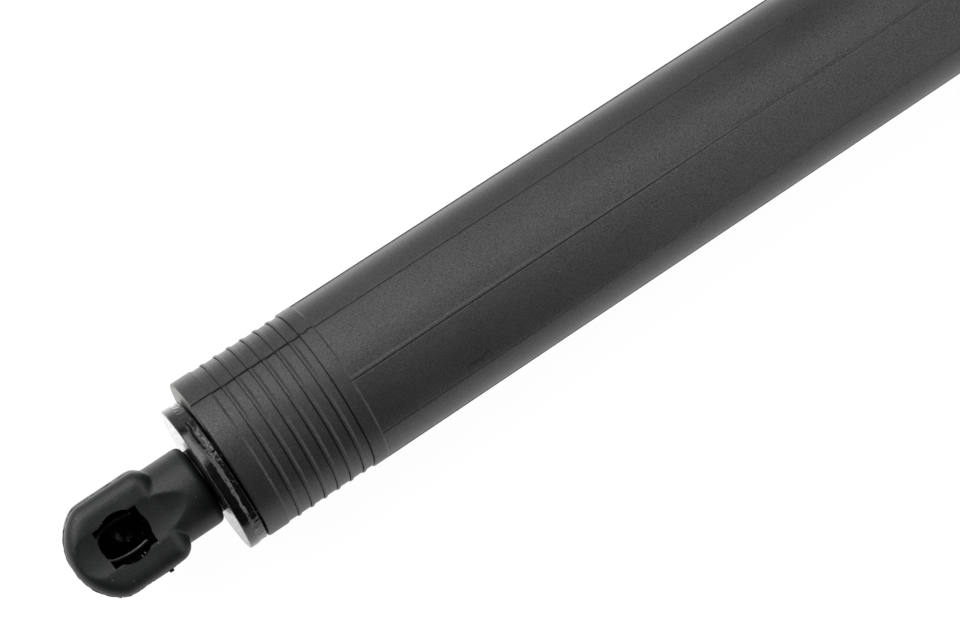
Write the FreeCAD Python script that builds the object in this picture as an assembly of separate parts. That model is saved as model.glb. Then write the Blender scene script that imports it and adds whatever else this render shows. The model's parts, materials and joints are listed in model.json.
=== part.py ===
"""Tailgate gas strut with a loose moulded cover over a telescoping gas spring and helper spring.

The strut lies along X. The origin is the centre of the ball seat at the rod end, the end that the
photograph shows, and the ball sockets open towards +Z. It is drawn at full extension, where the gas
holds it. All sizes are in millimetres.
"""

import FreeCAD
import Part

import math
import os

from FreeCAD import Vector

# Stroke and running fits
STROKE = 180.0
THREAD_FIT = 0.05
PRESS_FIT = 0.02
SLIDE_FIT = 0.05
LOOSE_FIT = 0.25
FACE_GAP = 0.05
CUT_MARGIN = 1.0

# Ball socket, moulded in glass-filled nylon for a 10 mm ball stud
SEAT_RADIUS = 5.05
HEAD_HALF_WIDTH = 10.45
HEAD_TIP_REACH = 12.2
HEAD_TIP_RADIUS = 11.5
HEAD_CHEEK_RADIUS = 5.0
HEAD_SHOULDER_REACH = 10.8
HEAD_HALF_HEIGHT = 8.4
HEAD_SHOULDER_RADIUS = 3.6
HEAD_EDGE_RADIUS = 3.4
NECK_RADIUS = 9.15
NECK_REACH = 19.4
NECK_END_RADIUS = 1.3
RAMP_REACH = 15.0
MOUTH_RADIUS = 5.55
MOUTH_HALF_LENGTH = 5.1
MOUTH_HALF_WIDTH = 4.4
MOUTH_FLOOR = 3.45
THREAD_RADIUS = 4.0
THREAD_WALL = 2.4

# Wire clip that holds the ball in its seat
CLIP_WIRE_RADIUS = 0.7
CLIP_SLOT_CLEARANCE = 0.15
CLIP_END_Y = 3.25
CLIP_MID_Y = 3.75
CLIP_HALF_LENGTH = 3.9
CLIP_SLOT_HALF_WIDTH = 5.3
CLIP_SLOT_REACH = 5.6
CLIP_SLOT_BACK = 7.5

# Lock washers under the sockets
WASHER_RADIUS = 7.5
WASHER_THICKNESS = 0.7

# End flange at the rod end, welded up from steel and painted
FLANGE_RADIUS = 17.05
FLANGE_THICKNESS = 4.3
FLANGE_EDGE_RADIUS = 0.5
FLANGE_GROOVE_OFFSET = 1.7
FLANGE_GROOVE_WIDTH = 0.7
FLANGE_GROOVE_DEPTH = 0.4
HUB_RADIUS = 11.0
STUD_CLEARANCE = 0.2

# Cover sleeve, which hangs loose on the hub and is guided at its mouth
COVER_WALL = 2.0
COVER_ROOM = 0.3
COVER_FACE_GAP = 0.4
COVER_DROP = 1.8
LIP_THICKNESS = 2.7
LIP_CLEARANCE = 0.4
COLLAR_LENGTH = 4.85
GRIP_SINK = 0.15
GRIP_EDGE_RADIUS = 0.4
RIDGE_COUNT = 6
RIDGE_PITCH = 3.25
RIDGE_TOP = 1.0
RIDGE_FLANK = 0.25
GROOVE_DEPTH = 0.35
COVER_MOUTH_RADIUS = 0.6

# Mouth bush and dust wiper
BUSH_LENGTH = 8.0
BUSH_SEAT_STEP = 0.5
BUSH_RIM_STEP = 0.6
BUSH_RIM_THICKNESS = 1.2
WIPER_DEPTH = 1.7
WIPER_THICKNESS = 2.0
WIPER_OFFSET = 3.5
WIPER_FIT = 0.12

# Spring plate and helper spring
SEAT_MARGIN = 0.3
PLATE_THICKNESS = 1.6
SPRING_TURNS = 24
SPRING_END_TURNS = 1.5
SPRING_WIRE = 3.0
SPRING_CLEARANCE = 0.22
SPRING_RESERVE = 4.0
SPRING_END_GAP = 0.06
SPRING_COIL_GAP = 0.52
SPRING_POINT_COUNT = 48

# Slip washer and seat collar at the far end of the spring
SLIP_THICKNESS = 1.5
SEAT_COLLAR_STEP = 0.9
SEAT_COLLAR_THICKNESS = 5.0
SEAT_SPIGOT_LENGTH = 6.0
STOP_GAP = 2.0

# Inner tube that the cover slides over
INNER_TUBE_GAP = 2.3
INNER_TUBE_WALL = 1.2
CLOSED_TAIL = 6.0
ROLL_OFFSET = 3.2
ROLL_WIDTH = 2.4
ROLL_DEPTH = 0.6

# Gas spring
ROD_RADIUS = 5.0
ROD_TIP_CHAMFER = 0.6
TUBE_RADIUS = 11.0
TUBE_WALL = 1.4
NOSE_RADIUS = 1.6
NOSE_LIP_RADIUS = 7.6
BUMP_RADIUS = 9.4
BUMP_LENGTH = 5.0
BUMP_EDGE_RADIUS = 1.2
BUMP_GAP = 0.4
GUIDE_LENGTH = 12.0
GUIDE_RING_WIRE = 0.9
SEAL_LENGTH = 6.0
SEAL_LIP_DEPTH = 2.2
BACKUP_LENGTH = 2.0
BEAD_WIDTH = 3.0
BEAD_DEPTH = 0.8
REBOUND_GAP = 4.0
LINER_WALL = 0.3
LINER_FIT = 0.08

# Piston stack, riveted to the inner end of the rod
SPIGOT_RADIUS = 3.0
STACK_WASHER_RADIUS = 8.0
STACK_WASHER_THICKNESS = 1.5
PISTON_LENGTH = 8.0
PISTON_FIT = 0.15
PISTON_RING_WIDTH = 2.4
PISTON_RING_DEPTH = 1.6
PISTON_PORT_RADIUS = 0.8
PISTON_PORT_CIRCLE = 5.6
PISTON_PORT_COUNT = 4
DAMPING_DISC_RADIUS = 7.2
DAMPING_DISC_THICKNESS = 1.0
END_WASHER_RADIUS = 5.5
END_WASHER_THICKNESS = 1.5
RIVET_RADIUS = 4.4
RIVET_HEIGHT = 1.6

# Closed end of the gas spring
PLUG_LENGTH = 9.0
PLUG_FLANGE = 2.0
REAR_FLANGE_THICKNESS = 4.0
REAR_SPIGOT_LENGTH = 6.0
REAR_EDGE_RADIUS = 0.8

# Stations along X, from the rod-end ball to the far ball
X_WASHER = NECK_REACH
X_FLANGE = X_WASHER + WASHER_THICKNESS
X_HUB = X_FLANGE + FLANGE_THICKNESS
X_COVER = X_HUB + COVER_FACE_GAP
X_PLATE = X_COVER + LIP_THICKNESS + COVER_FACE_GAP
X_SPRING = X_PLATE + PLATE_THICKNESS
X_NOSE = X_SPRING + BUMP_LENGTH + BUMP_GAP + STROKE
SPRING_CLOSED = SPRING_TURNS * SPRING_WIRE + SPRING_RESERVE
X_SLIP = X_SPRING + SPRING_CLOSED + STROKE
X_SEAT = X_SLIP + SLIP_THICKNESS + FACE_GAP
X_INNER_TUBE = X_SEAT + SEAT_COLLAR_THICKNESS
X_BUSH = X_INNER_TUBE + STOP_GAP
X_MOUTH = X_BUSH + BUSH_LENGTH
X_REAR = X_MOUTH + BUSH_RIM_THICKNESS + CLOSED_TAIL + STROKE
X_REAR_WASHER = X_REAR + REAR_FLANGE_THICKNESS
X_FAR_BALL = X_REAR_WASHER + WASHER_THICKNESS + NECK_REACH
X_THREAD = SEAT_RADIUS + THREAD_WALL

# Sizes that follow from a neighbour
TUBE_BORE = TUBE_RADIUS - TUBE_WALL
LINER_BORE = TUBE_RADIUS + LINER_FIT
LINER_RADIUS = LINER_BORE + LINER_WALL
SPRING_MEAN_RADIUS = LINER_RADIUS + SPRING_CLEARANCE + SPRING_WIRE / 2
PLATE_RADIUS = SPRING_MEAN_RADIUS + SPRING_WIRE / 2 + SEAT_MARGIN
COVER_BORE = PLATE_RADIUS + COVER_DROP + COVER_ROOM
COVER_RADIUS = COVER_BORE + COVER_WALL
GRIP_RADIUS = COVER_RADIUS - GRIP_SINK
INNER_BORE = TUBE_RADIUS + INNER_TUBE_GAP
INNER_TUBE_RADIUS = INNER_BORE + INNER_TUBE_WALL
SEAT_COLLAR_RADIUS = INNER_TUBE_RADIUS + SEAT_COLLAR_STEP
BUSH_SEAT_RADIUS = COVER_BORE + BUSH_SEAT_STEP
BUSH_RIM_RADIUS = COVER_RADIUS - BUSH_RIM_STEP
WIPER_RADIUS = INNER_TUBE_RADIUS + WIPER_DEPTH
STUD_HOLE = THREAD_RADIUS + STUD_CLEARANCE
CLIP_HEIGHT = MOUTH_FLOOR + CLIP_SLOT_CLEARANCE + CLIP_WIRE_RADIUS
CLIP_SLOT_HEIGHT = 2 * (CLIP_WIRE_RADIUS + CLIP_SLOT_CLEARANCE)
X_GUIDE = X_NOSE + TUBE_WALL
X_SEAL = X_GUIDE + GUIDE_LENGTH
X_BACKUP = X_SEAL + SEAL_LENGTH
X_BEAD = X_BACKUP + BACKUP_LENGTH
X_STACK = X_BEAD + BEAD_WIDTH + REBOUND_GAP
X_TUBE_END = X_REAR - PLUG_FLANGE
COVER_PIVOT = Vector(X_BUSH + BUSH_LENGTH / 2, 0, 0)
COVER_TILT = math.degrees(math.atan(COVER_DROP / (COVER_PIVOT.x - X_COVER)))

AXIS = Vector(1, 0, 0)
ORIGIN = Vector(0, 0, 0)


def outline(corners):
    """Closed wire in the X and Z plane through (x, r) corners, some rounded as (x, r, radius)."""
    points = [Vector(c[0], 0, c[1]) for c in corners]
    radii = [c[2] if len(c) > 2 else 0.0 for c in corners]
    starts = []
    arcs = []
    for i, corner in enumerate(points):
        if not radii[i]:
            starts.append((corner, corner))
            arcs.append(None)
            continue
        back = (points[i - 1] - corner).normalize()
        ahead = (points[(i + 1) % len(points)] - corner).normalize()
        half = back.getAngle(ahead) / 2
        reach = radii[i] / math.tan(half)
        middle = (back + ahead).normalize()
        nearest = corner + middle * (radii[i] / math.sin(half) - radii[i])
        first = corner + back * reach
        last = corner + ahead * reach
        starts.append((first, last))
        arcs.append(Part.Arc(first, nearest, last).toShape())
    edges = []
    for i, (first, last) in enumerate(starts):
        if arcs[i]:
            edges.append(arcs[i])
        following = starts[(i + 1) % len(starts)][0]
        if last.distanceToPoint(following) > 1e-6:
            edges.append(Part.LineSegment(last, following).toShape())
    return Part.Wire(edges)


def turned(corners):
    """Solid of revolution about the strut's axis from its half outline."""
    return Part.Face(outline(corners)).revolve(ORIGIN, AXIS, 360)


def ring(start, length, outer, inner, edge=0.0):
    """Plain ring on the strut's axis, its outer corners rounded by edge."""
    end = start + length
    corner = (edge,) if edge else ()
    return turned([(start, inner), (start, outer, *corner), (end, outer, *corner), (end, inner)])


def box_between(low, high):
    """Rectangular block between two opposite corners."""
    size = high - low
    return Part.makeBox(size.x, size.y, size.z, low)


def cylinder_up(radius, low, high):
    """Cylinder along Z through the ball centre."""
    return Part.makeCylinder(radius, high - low, Vector(0, 0, low))


def swept_wire(path, radius):
    """Round wire along a path of tangent edges."""
    start = path.Edges[0].firstVertex(True).Point
    edge = path.Edges[0]
    tangent = edge.tangentAt(edge.FirstParameter)
    profile = Part.Wire(Part.makeCircle(radius, start, tangent))
    return path.makePipeShell([profile], True, False)


def head_block():
    """Rounded head that holds the ball seat, its tip drawn about the ball and its rims rolled over."""
    centre_x = HEAD_TIP_RADIUS - HEAD_TIP_REACH
    cheek_x = centre_x - math.sqrt(HEAD_TIP_RADIUS ** 2 - HEAD_HALF_WIDTH ** 2)
    tip = Vector(-HEAD_TIP_REACH, 0, -HEAD_HALF_HEIGHT)
    left = Vector(cheek_x, HEAD_HALF_WIDTH, -HEAD_HALF_HEIGHT)
    right = Vector(cheek_x, -HEAD_HALF_WIDTH, -HEAD_HALF_HEIGHT)
    shoulder_left = Vector(HEAD_SHOULDER_REACH, HEAD_HALF_WIDTH, -HEAD_HALF_HEIGHT)
    shoulder_right = Vector(HEAD_SHOULDER_REACH, -HEAD_HALF_WIDTH, -HEAD_HALF_HEIGHT)
    plan = Part.Wire([
        Part.Arc(left, tip, right).toShape(),
        Part.LineSegment(right, shoulder_right).toShape(),
        Part.LineSegment(shoulder_right, shoulder_left).toShape(),
        Part.LineSegment(shoulder_left, left).toShape(),
    ])
    block = Part.Face(plan).extrude(Vector(0, 0, 2 * HEAD_HALF_HEIGHT))
    for x, radius in ((HEAD_SHOULDER_REACH, HEAD_SHOULDER_RADIUS), (cheek_x, HEAD_CHEEK_RADIUS)):
        upright = [
            e for e in block.Edges
            if abs(e.CenterOfMass.x - x) < 1e-6 and abs(e.CenterOfMass.z) < 1e-6
        ]
        block = block.makeFillet(radius, upright)
    rims = [e for e in block.Edges if abs(abs(e.CenterOfMass.z) - HEAD_HALF_HEIGHT) < 1e-6]
    return block.makeFillet(HEAD_EDGE_RADIUS, rims)


def neck():
    """Round neck, with a flat that ramps down to the face of the head on both sides."""
    stem = turned([(0, 0), (0, NECK_RADIUS), (NECK_REACH, NECK_RADIUS, NECK_END_RADIUS), (NECK_REACH, 0)])
    above = 2 * NECK_RADIUS
    ramp = Part.makePolygon([
        Vector(-CUT_MARGIN, -above, HEAD_HALF_HEIGHT),
        Vector(HEAD_SHOULDER_REACH, -above, HEAD_HALF_HEIGHT),
        Vector(RAMP_REACH, -above, NECK_RADIUS),
        Vector(RAMP_REACH, -above, above),
        Vector(-CUT_MARGIN, -above, above),
        Vector(-CUT_MARGIN, -above, HEAD_HALF_HEIGHT),
    ])
    wedge = Part.Face(ramp).extrude(Vector(0, 2 * above, 0))
    return stem.cut([wedge, wedge.mirror(ORIGIN, Vector(0, 0, 1))])


def ball_socket():
    """Moulded ball socket with its neck towards +X and its mouth towards +Z."""
    top = HEAD_HALF_HEIGHT + CUT_MARGIN
    slot_low = Vector(-CLIP_SLOT_BACK, -CLIP_SLOT_HALF_WIDTH, MOUTH_FLOOR)
    slot_high = Vector(CLIP_SLOT_REACH, CLIP_SLOT_HALF_WIDTH, MOUTH_FLOOR + CLIP_SLOT_HEIGHT)
    mouth_low = Vector(-MOUTH_HALF_LENGTH, -MOUTH_HALF_WIDTH, MOUTH_FLOOR)
    mouth_high = Vector(MOUTH_HALF_LENGTH, MOUTH_HALF_WIDTH, top)
    hollows = [
        Part.makeSphere(SEAT_RADIUS),
        cylinder_up(SEAT_RADIUS, 0, MOUTH_FLOOR + CUT_MARGIN),
        cylinder_up(MOUTH_RADIUS, MOUTH_FLOOR, top),
        box_between(mouth_low, mouth_high),
        box_between(slot_low, slot_high),
        Part.makeCylinder(THREAD_RADIUS, NECK_REACH, Vector(X_THREAD, 0, 0), AXIS),
    ]
    return head_block().fuse(neck()).removeSplitter().cut(hollows)


def ball_clip():
    """Sprung wire clip with two bowed arms, open towards the neck."""
    rise = CLIP_MID_Y - CLIP_END_Y
    bow = (CLIP_HALF_LENGTH ** 2 + rise ** 2) / (2 * rise)
    lean = math.asin(CLIP_HALF_LENGTH / bow)
    bend = CLIP_END_Y / math.cos(lean)
    bend_x = -CLIP_HALF_LENGTH + bend * math.sin(lean)
    z = CLIP_HEIGHT
    path = Part.Wire([
        Part.Arc(
            Vector(CLIP_HALF_LENGTH, CLIP_END_Y, z),
            Vector(0, CLIP_MID_Y, z),
            Vector(-CLIP_HALF_LENGTH, CLIP_END_Y, z),
        ).toShape(),
        Part.Arc(
            Vector(-CLIP_HALF_LENGTH, CLIP_END_Y, z),
            Vector(bend_x - bend, 0, z),
            Vector(-CLIP_HALF_LENGTH, -CLIP_END_Y, z),
        ).toShape(),
        Part.Arc(
            Vector(-CLIP_HALF_LENGTH, -CLIP_END_Y, z),
            Vector(0, -CLIP_MID_Y, z),
            Vector(CLIP_HALF_LENGTH, -CLIP_END_Y, z),
        ).toShape(),
    ])
    return swept_wire(path, CLIP_WIRE_RADIUS)


def at_far_end(shape):
    """Copy of a rod-end piece turned round to the far ball."""
    turned_round = shape.copy()
    turned_round.rotate(ORIGIN, Vector(0, 0, 1), 180)
    turned_round.translate(Vector(X_FAR_BALL, 0, 0))
    return turned_round


def end_flange():
    """Painted end flange with a weld groove round its rim and a hub for the cover."""
    groove = X_FLANGE + FLANGE_GROOVE_OFFSET
    groove_end = groove + FLANGE_GROOVE_WIDTH
    return turned([
        (X_FLANGE, STUD_HOLE),
        (X_FLANGE, FLANGE_RADIUS, FLANGE_EDGE_RADIUS),
        (groove, FLANGE_RADIUS),
        ((groove + groove_end) / 2, FLANGE_RADIUS - FLANGE_GROOVE_DEPTH),
        (groove_end, FLANGE_RADIUS),
        (X_HUB, FLANGE_RADIUS, FLANGE_EDGE_RADIUS),
        (X_HUB, HUB_RADIUS),
        (X_PLATE, HUB_RADIUS),
        (X_PLATE, STUD_HOLE),
    ])


def grip_outline():
    """Outer corners of the collar, the bands and the ridges, from the end face inwards."""
    low = GRIP_RADIUS - GROOVE_DEPTH
    x = X_COVER + COLLAR_LENGTH
    corners = [(X_COVER, GRIP_RADIUS, GRIP_EDGE_RADIUS), (x, GRIP_RADIUS), (x + RIDGE_FLANK, low)]
    band = RIDGE_PITCH - RIDGE_TOP - 2 * RIDGE_FLANK
    x += RIDGE_FLANK + band
    for _ in range(RIDGE_COUNT):
        corners += [(x, low), (x + RIDGE_FLANK, GRIP_RADIUS)]
        x += RIDGE_FLANK + RIDGE_TOP
        corners += [(x, GRIP_RADIUS), (x + RIDGE_FLANK, low)]
        x += RIDGE_FLANK + band
    corners += [(x, low), (x + RIDGE_FLANK, COVER_RADIUS)]
    return corners


def on_cover_axis(shape):
    """Piece of the cover, tilted about the mouth bush so that it hangs off centre at the flange."""
    tilted = shape.copy()
    tilted.rotate(COVER_PIVOT, Vector(0, 0, 1), -COVER_TILT)
    return tilted


def cover_sleeve():
    """Moulded cover sleeve with an inner lip behind the flange and a seat for the bush."""
    lip_bore = HUB_RADIUS + COVER_DROP + LIP_CLEARANCE
    x_lip = X_COVER + LIP_THICKNESS
    corners = [(X_COVER, lip_bore)] + grip_outline()
    corners += [
        (X_MOUTH, COVER_RADIUS, COVER_MOUTH_RADIUS),
        (X_MOUTH, BUSH_SEAT_RADIUS),
        (X_BUSH, BUSH_SEAT_RADIUS),
        (X_BUSH, COVER_BORE),
        (x_lip, COVER_BORE),
        (x_lip, lip_bore),
    ]
    return on_cover_axis(turned(corners))


def mouth_bush():
    """Guide bush pressed into the mouth of the cover, with a groove for the wiper."""
    bore = INNER_TUBE_RADIUS + LOOSE_FIT
    outer = BUSH_SEAT_RADIUS - PRESS_FIT
    groove = X_BUSH + WIPER_OFFSET
    rim_end = X_MOUTH + BUSH_RIM_THICKNESS
    return on_cover_axis(turned([
        (X_BUSH, bore),
        (X_BUSH, outer),
        (X_MOUTH, outer),
        (X_MOUTH, BUSH_RIM_RADIUS),
        (rim_end, BUSH_RIM_RADIUS, COVER_MOUTH_RADIUS),
        (rim_end, bore),
        (groove + WIPER_THICKNESS, bore),
        (groove + WIPER_THICKNESS, WIPER_RADIUS),
        (groove, WIPER_RADIUS),
        (groove, bore),
    ]))


def dust_wiper():
    """Felt ring in the bush that wipes the inner tube."""
    start = X_BUSH + WIPER_OFFSET + PRESS_FIT
    length = WIPER_THICKNESS - 2 * PRESS_FIT
    return on_cover_axis(ring(start, length, WIPER_RADIUS - PRESS_FIT, INNER_TUBE_RADIUS + WIPER_FIT))


def helix_point(angle, x):
    """Point on the spring's centre line."""
    r = SPRING_MEAN_RADIUS
    return Vector(x, r * math.cos(angle), r * math.sin(angle))


def helix_tangent(angle, pitch):
    """Direction of the spring's centre line where it climbs by pitch in a turn."""
    r = SPRING_MEAN_RADIUS
    return Vector(pitch / (2 * math.pi), -r * math.sin(angle), r * math.cos(angle)).normalize()


def tangent_arc(start, corner, end):
    """Arc from start to end that touches the lines to the corner."""
    middle = (start + end) * 0.5
    half_chord = start.distanceToPoint(end) / 2
    lean = math.acos(half_chord / start.distanceToPoint(corner))
    top = middle + (corner - middle).normalize() * (half_chord * math.tan(lean / 2))
    return Part.Arc(start, top, end).toShape()


def biarc(start, start_way, end, end_way):
    """Two tangent arcs from one point and direction to another."""
    span = end - start
    both = start_way + end_way
    a = 2 * (start_way.dot(end_way) - 1)
    b = -2 * span.dot(both)
    c = span.dot(span)
    reach = (-b - math.sqrt(b * b - 4 * a * c)) / (2 * a)
    first = start + start_way * reach
    last = end - end_way * reach
    join = (first + last) * 0.5
    return [tangent_arc(start, first, join), tangent_arc(join, last, end)]


def least_gap(path):
    """Least gap between neighbouring turns of the spring, measured on points of its centre line."""
    points = path.discretize(Number=SPRING_TURNS * SPRING_POINT_COUNT)
    nearest = math.inf
    for i, point in enumerate(points):
        ahead = points[i + SPRING_POINT_COUNT // 2:i + 3 * SPRING_POINT_COUNT // 2]
        nearest = min([nearest] + [point.distanceToPoint(other) for other in ahead])
    return nearest - SPRING_WIRE


def helper_spring():
    """Compression spring with closed end turns, as one unbroken wire of half-turn biarcs."""
    x_first = X_SPRING + SPRING_WIRE / 2 + SPRING_END_GAP
    x_last = X_SLIP - SPRING_WIRE / 2 - SPRING_END_GAP
    close_pitch = SPRING_WIRE + SPRING_COIL_GAP
    halves = int(2 * SPRING_TURNS)
    end_halves = int(2 * SPRING_END_TURNS)
    wide_halves = halves - 2 * end_halves
    end_rise = close_pitch / 2 * end_halves
    wide_pitch = 2 * (x_last - x_first - 2 * end_rise) / wide_halves
    edges = []
    x = x_first
    for i in range(halves):
        at_end = i < end_halves or i >= halves - end_halves
        pitch = close_pitch if at_end else wide_pitch
        before = close_pitch if i <= end_halves or i >= halves - end_halves else wide_pitch
        after = close_pitch if i < end_halves or i >= halves - end_halves - 1 else wide_pitch
        start = helix_point(i * math.pi, x)
        x += pitch / 2
        end = helix_point((i + 1) * math.pi, x)
        start_way = helix_tangent(i * math.pi, before if i else 0)
        end_way = helix_tangent((i + 1) * math.pi, after if i < halves - 1 else 0)
        edges += biarc(start, start_way, end, end_way)
    first = edges[0].firstVertex().Point
    last = edges[-1].lastVertex().Point
    lead_in = Vector(0, 0, -SPRING_WIRE)
    lead_out = helix_tangent(halves * math.pi, 0) * SPRING_WIRE
    edges.insert(0, Part.LineSegment(first + lead_in, first).toShape())
    edges.append(Part.LineSegment(last, last + lead_out).toShape())
    path = Part.Wire(edges)
    spring = swept_wire(path, SPRING_WIRE / 2)
    expected = math.pi * (SPRING_WIRE / 2) ** 2 * path.Length
    print(f"spring: least gap to itself {least_gap(path):.2f} mm, "
          f"volume {spring.Volume:.0f} against {expected:.0f} mm3")
    return spring


def seat_collar():
    """Collar that closes the front of the inner tube and carries the spring."""
    bore = LINER_BORE
    spigot = INNER_BORE - SLIDE_FIT
    return turned([
        (X_SEAT, bore),
        (X_SEAT, SEAT_COLLAR_RADIUS),
        (X_INNER_TUBE, SEAT_COLLAR_RADIUS),
        (X_INNER_TUBE, spigot),
        (X_INNER_TUBE + SEAT_SPIGOT_LENGTH, spigot),
        (X_INNER_TUBE + SEAT_SPIGOT_LENGTH, bore),
    ])


def pressure_tube():
    """Gas tube, rolled in over the guide at its nose and beaded behind the seal pack."""
    bead_mid = BEAD_WIDTH / 2
    outer = [
        (X_NOSE, NOSE_LIP_RADIUS),
        (X_NOSE, TUBE_RADIUS, NOSE_RADIUS),
        (X_BEAD, TUBE_RADIUS),
        (X_BEAD + bead_mid, TUBE_RADIUS - BEAD_DEPTH),
        (X_BEAD + BEAD_WIDTH, TUBE_RADIUS),
        (X_TUBE_END, TUBE_RADIUS),
    ]
    inner = [
        (X_TUBE_END, TUBE_BORE),
        (X_BEAD + BEAD_WIDTH, TUBE_BORE),
        (X_BEAD + bead_mid, TUBE_BORE - BEAD_DEPTH),
        (X_BEAD, TUBE_BORE),
        (X_GUIDE, TUBE_BORE),
        (X_GUIDE, NOSE_LIP_RADIUS),
    ]
    return turned(outer + inner)


def rattle_liner():
    """Thin plastic sleeve that keeps the spring from rattling on the gas tube."""
    start = X_NOSE + NOSE_RADIUS
    return ring(start, X_SLIP - start, LINER_RADIUS, LINER_BORE)


def rod_guide():
    """Guide bush for the rod, with a groove for its sealing ring."""
    outer = TUBE_BORE - SLIDE_FIT
    bore = ROD_RADIUS + SLIDE_FIT
    groove = X_GUIDE + GUIDE_LENGTH / 2
    floor = TUBE_BORE - 2 * GUIDE_RING_WIRE
    return turned([
        (X_GUIDE, bore),
        (X_GUIDE, outer),
        (groove - GUIDE_RING_WIRE, outer),
        (groove - GUIDE_RING_WIRE, floor),
        (groove + GUIDE_RING_WIRE, floor),
        (groove + GUIDE_RING_WIRE, outer),
        (X_SEAL, outer),
        (X_SEAL, bore),
    ])


def guide_ring():
    """Round sealing ring between the guide and the tube."""
    wire = GUIDE_RING_WIRE - PRESS_FIT
    centre = TUBE_BORE - GUIDE_RING_WIRE
    return Part.makeTorus(centre, wire, Vector(X_GUIDE + GUIDE_LENGTH / 2, 0, 0), AXIS)


def rod_seal():
    """Lip seal, its inner and outer lips facing the gas."""
    bore = ROD_RADIUS + SLIDE_FIT
    outer = TUBE_BORE - SLIDE_FIT
    heel = (outer - bore) / 3
    return turned([
        (X_SEAL, bore),
        (X_SEAL, outer),
        (X_BACKUP, outer),
        (X_BACKUP - SEAL_LIP_DEPTH, outer - heel),
        (X_BACKUP - SEAL_LIP_DEPTH, bore + heel),
        (X_BACKUP, bore),
    ])


def piston_rod():
    """Polished rod with its thread at the ball end and a riveted spigot at the piston."""
    tip = X_THREAD + FACE_GAP
    thread = THREAD_RADIUS - THREAD_FIT
    x_rivet = stack_stations()["rivet"]
    return turned([
        (tip, 0),
        (tip, thread - ROD_TIP_CHAMFER),
        (tip + ROD_TIP_CHAMFER, thread),
        (X_SPRING, thread),
        (X_SPRING, ROD_RADIUS),
        (X_STACK, ROD_RADIUS),
        (X_STACK, SPIGOT_RADIUS),
        (x_rivet, SPIGOT_RADIUS),
        (x_rivet, RIVET_RADIUS),
        (x_rivet + RIVET_HEIGHT, RIVET_RADIUS, RIVET_HEIGHT / 2),
        (x_rivet + RIVET_HEIGHT, 0),
    ])


def stack_stations():
    """Where each piece of the piston stack starts."""
    piston = X_STACK + STACK_WASHER_THICKNESS
    disc = piston + PISTON_LENGTH
    end_washer = disc + DAMPING_DISC_THICKNESS
    rivet = end_washer + END_WASHER_THICKNESS
    return {"piston": piston, "disc": disc, "end_washer": end_washer, "rivet": rivet}


def piston():
    """Piston with a ring groove and small gas ports."""
    start = stack_stations()["piston"]
    outer = TUBE_BORE - PISTON_FIT
    middle = start + PISTON_LENGTH / 2
    floor = outer - PISTON_RING_DEPTH
    half = PISTON_RING_WIDTH / 2
    body = turned([
        (start, SPIGOT_RADIUS + PRESS_FIT),
        (start, outer),
        (middle - half, outer),
        (middle - half, floor),
        (middle + half, floor),
        (middle + half, outer),
        (start + PISTON_LENGTH, outer),
        (start + PISTON_LENGTH, SPIGOT_RADIUS + PRESS_FIT),
    ])
    ports = []
    for i in range(PISTON_PORT_COUNT):
        angle = 2 * math.pi * i / PISTON_PORT_COUNT
        across = PISTON_PORT_CIRCLE * math.cos(angle)
        up = PISTON_PORT_CIRCLE * math.sin(angle)
        mouth = Vector(start - CUT_MARGIN, across, up)
        length = PISTON_LENGTH + 2 * CUT_MARGIN
        ports.append(Part.makeCylinder(PISTON_PORT_RADIUS, length, mouth, AXIS))
    return body.cut(ports)


def piston_ring():
    """Sealing ring in the piston's groove."""
    outer = TUBE_BORE - SLIDE_FIT
    floor = TUBE_BORE - PISTON_FIT - PISTON_RING_DEPTH
    middle = stack_stations()["piston"] + PISTON_LENGTH / 2
    half = PISTON_RING_WIDTH / 2 - PRESS_FIT
    return ring(middle - half, 2 * half, outer, floor + PRESS_FIT)


def stack_washer(start, thickness, radius):
    """Washer on the rod's spigot."""
    return ring(start, thickness, radius, SPIGOT_RADIUS + PRESS_FIT)


def tube_plug():
    """Welded plug that closes the gas tube, with the threaded stud for the far socket."""
    stud = THREAD_RADIUS - THREAD_FIT
    tip = X_FAR_BALL - X_THREAD - FACE_GAP
    inner = X_TUBE_END - PLUG_LENGTH
    return turned([
        (inner, 0),
        (inner, TUBE_BORE - PRESS_FIT),
        (X_TUBE_END, TUBE_BORE - PRESS_FIT),
        (X_TUBE_END, TUBE_RADIUS),
        (X_REAR, TUBE_RADIUS),
        (X_REAR, stud),
        (tip - ROD_TIP_CHAMFER, stud),
        (tip, stud - ROD_TIP_CHAMFER),
        (tip, 0),
    ])


def rolled_groove(radius):
    """Corners of the groove that is rolled into the inner tube over the rear flange."""
    middle = X_REAR - ROLL_OFFSET
    half = ROLL_WIDTH / 2
    return [(middle - half, radius), (middle, radius - ROLL_DEPTH, half), (middle + half, radius)]


def inner_tube():
    """Painted tube that the cover slides over, rolled in over the rear flange."""
    outer = [(X_INNER_TUBE, INNER_TUBE_RADIUS)] + rolled_groove(INNER_TUBE_RADIUS)
    inner = [(X_REAR, INNER_BORE)] + rolled_groove(INNER_BORE)[::-1] + [(X_INNER_TUBE, INNER_BORE)]
    return turned(outer + [(X_REAR, INNER_TUBE_RADIUS)] + inner)


def rear_flange():
    """Flange that closes the inner tube and seats on its bore."""
    spigot = INNER_BORE - SLIDE_FIT
    start = X_REAR - REAR_SPIGOT_LENGTH
    return turned([
        (start, TUBE_RADIUS + LOOSE_FIT),
        (start, spigot),
        *rolled_groove(spigot),
        (X_REAR, spigot),
        (X_REAR, INNER_TUBE_RADIUS),
        (X_REAR_WASHER, INNER_TUBE_RADIUS, REAR_EDGE_RADIUS),
        (X_REAR_WASHER, STUD_HOLE),
        (X_REAR, STUD_HOLE),
        (X_REAR, TUBE_RADIUS + LOOSE_FIT),
    ])


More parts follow.
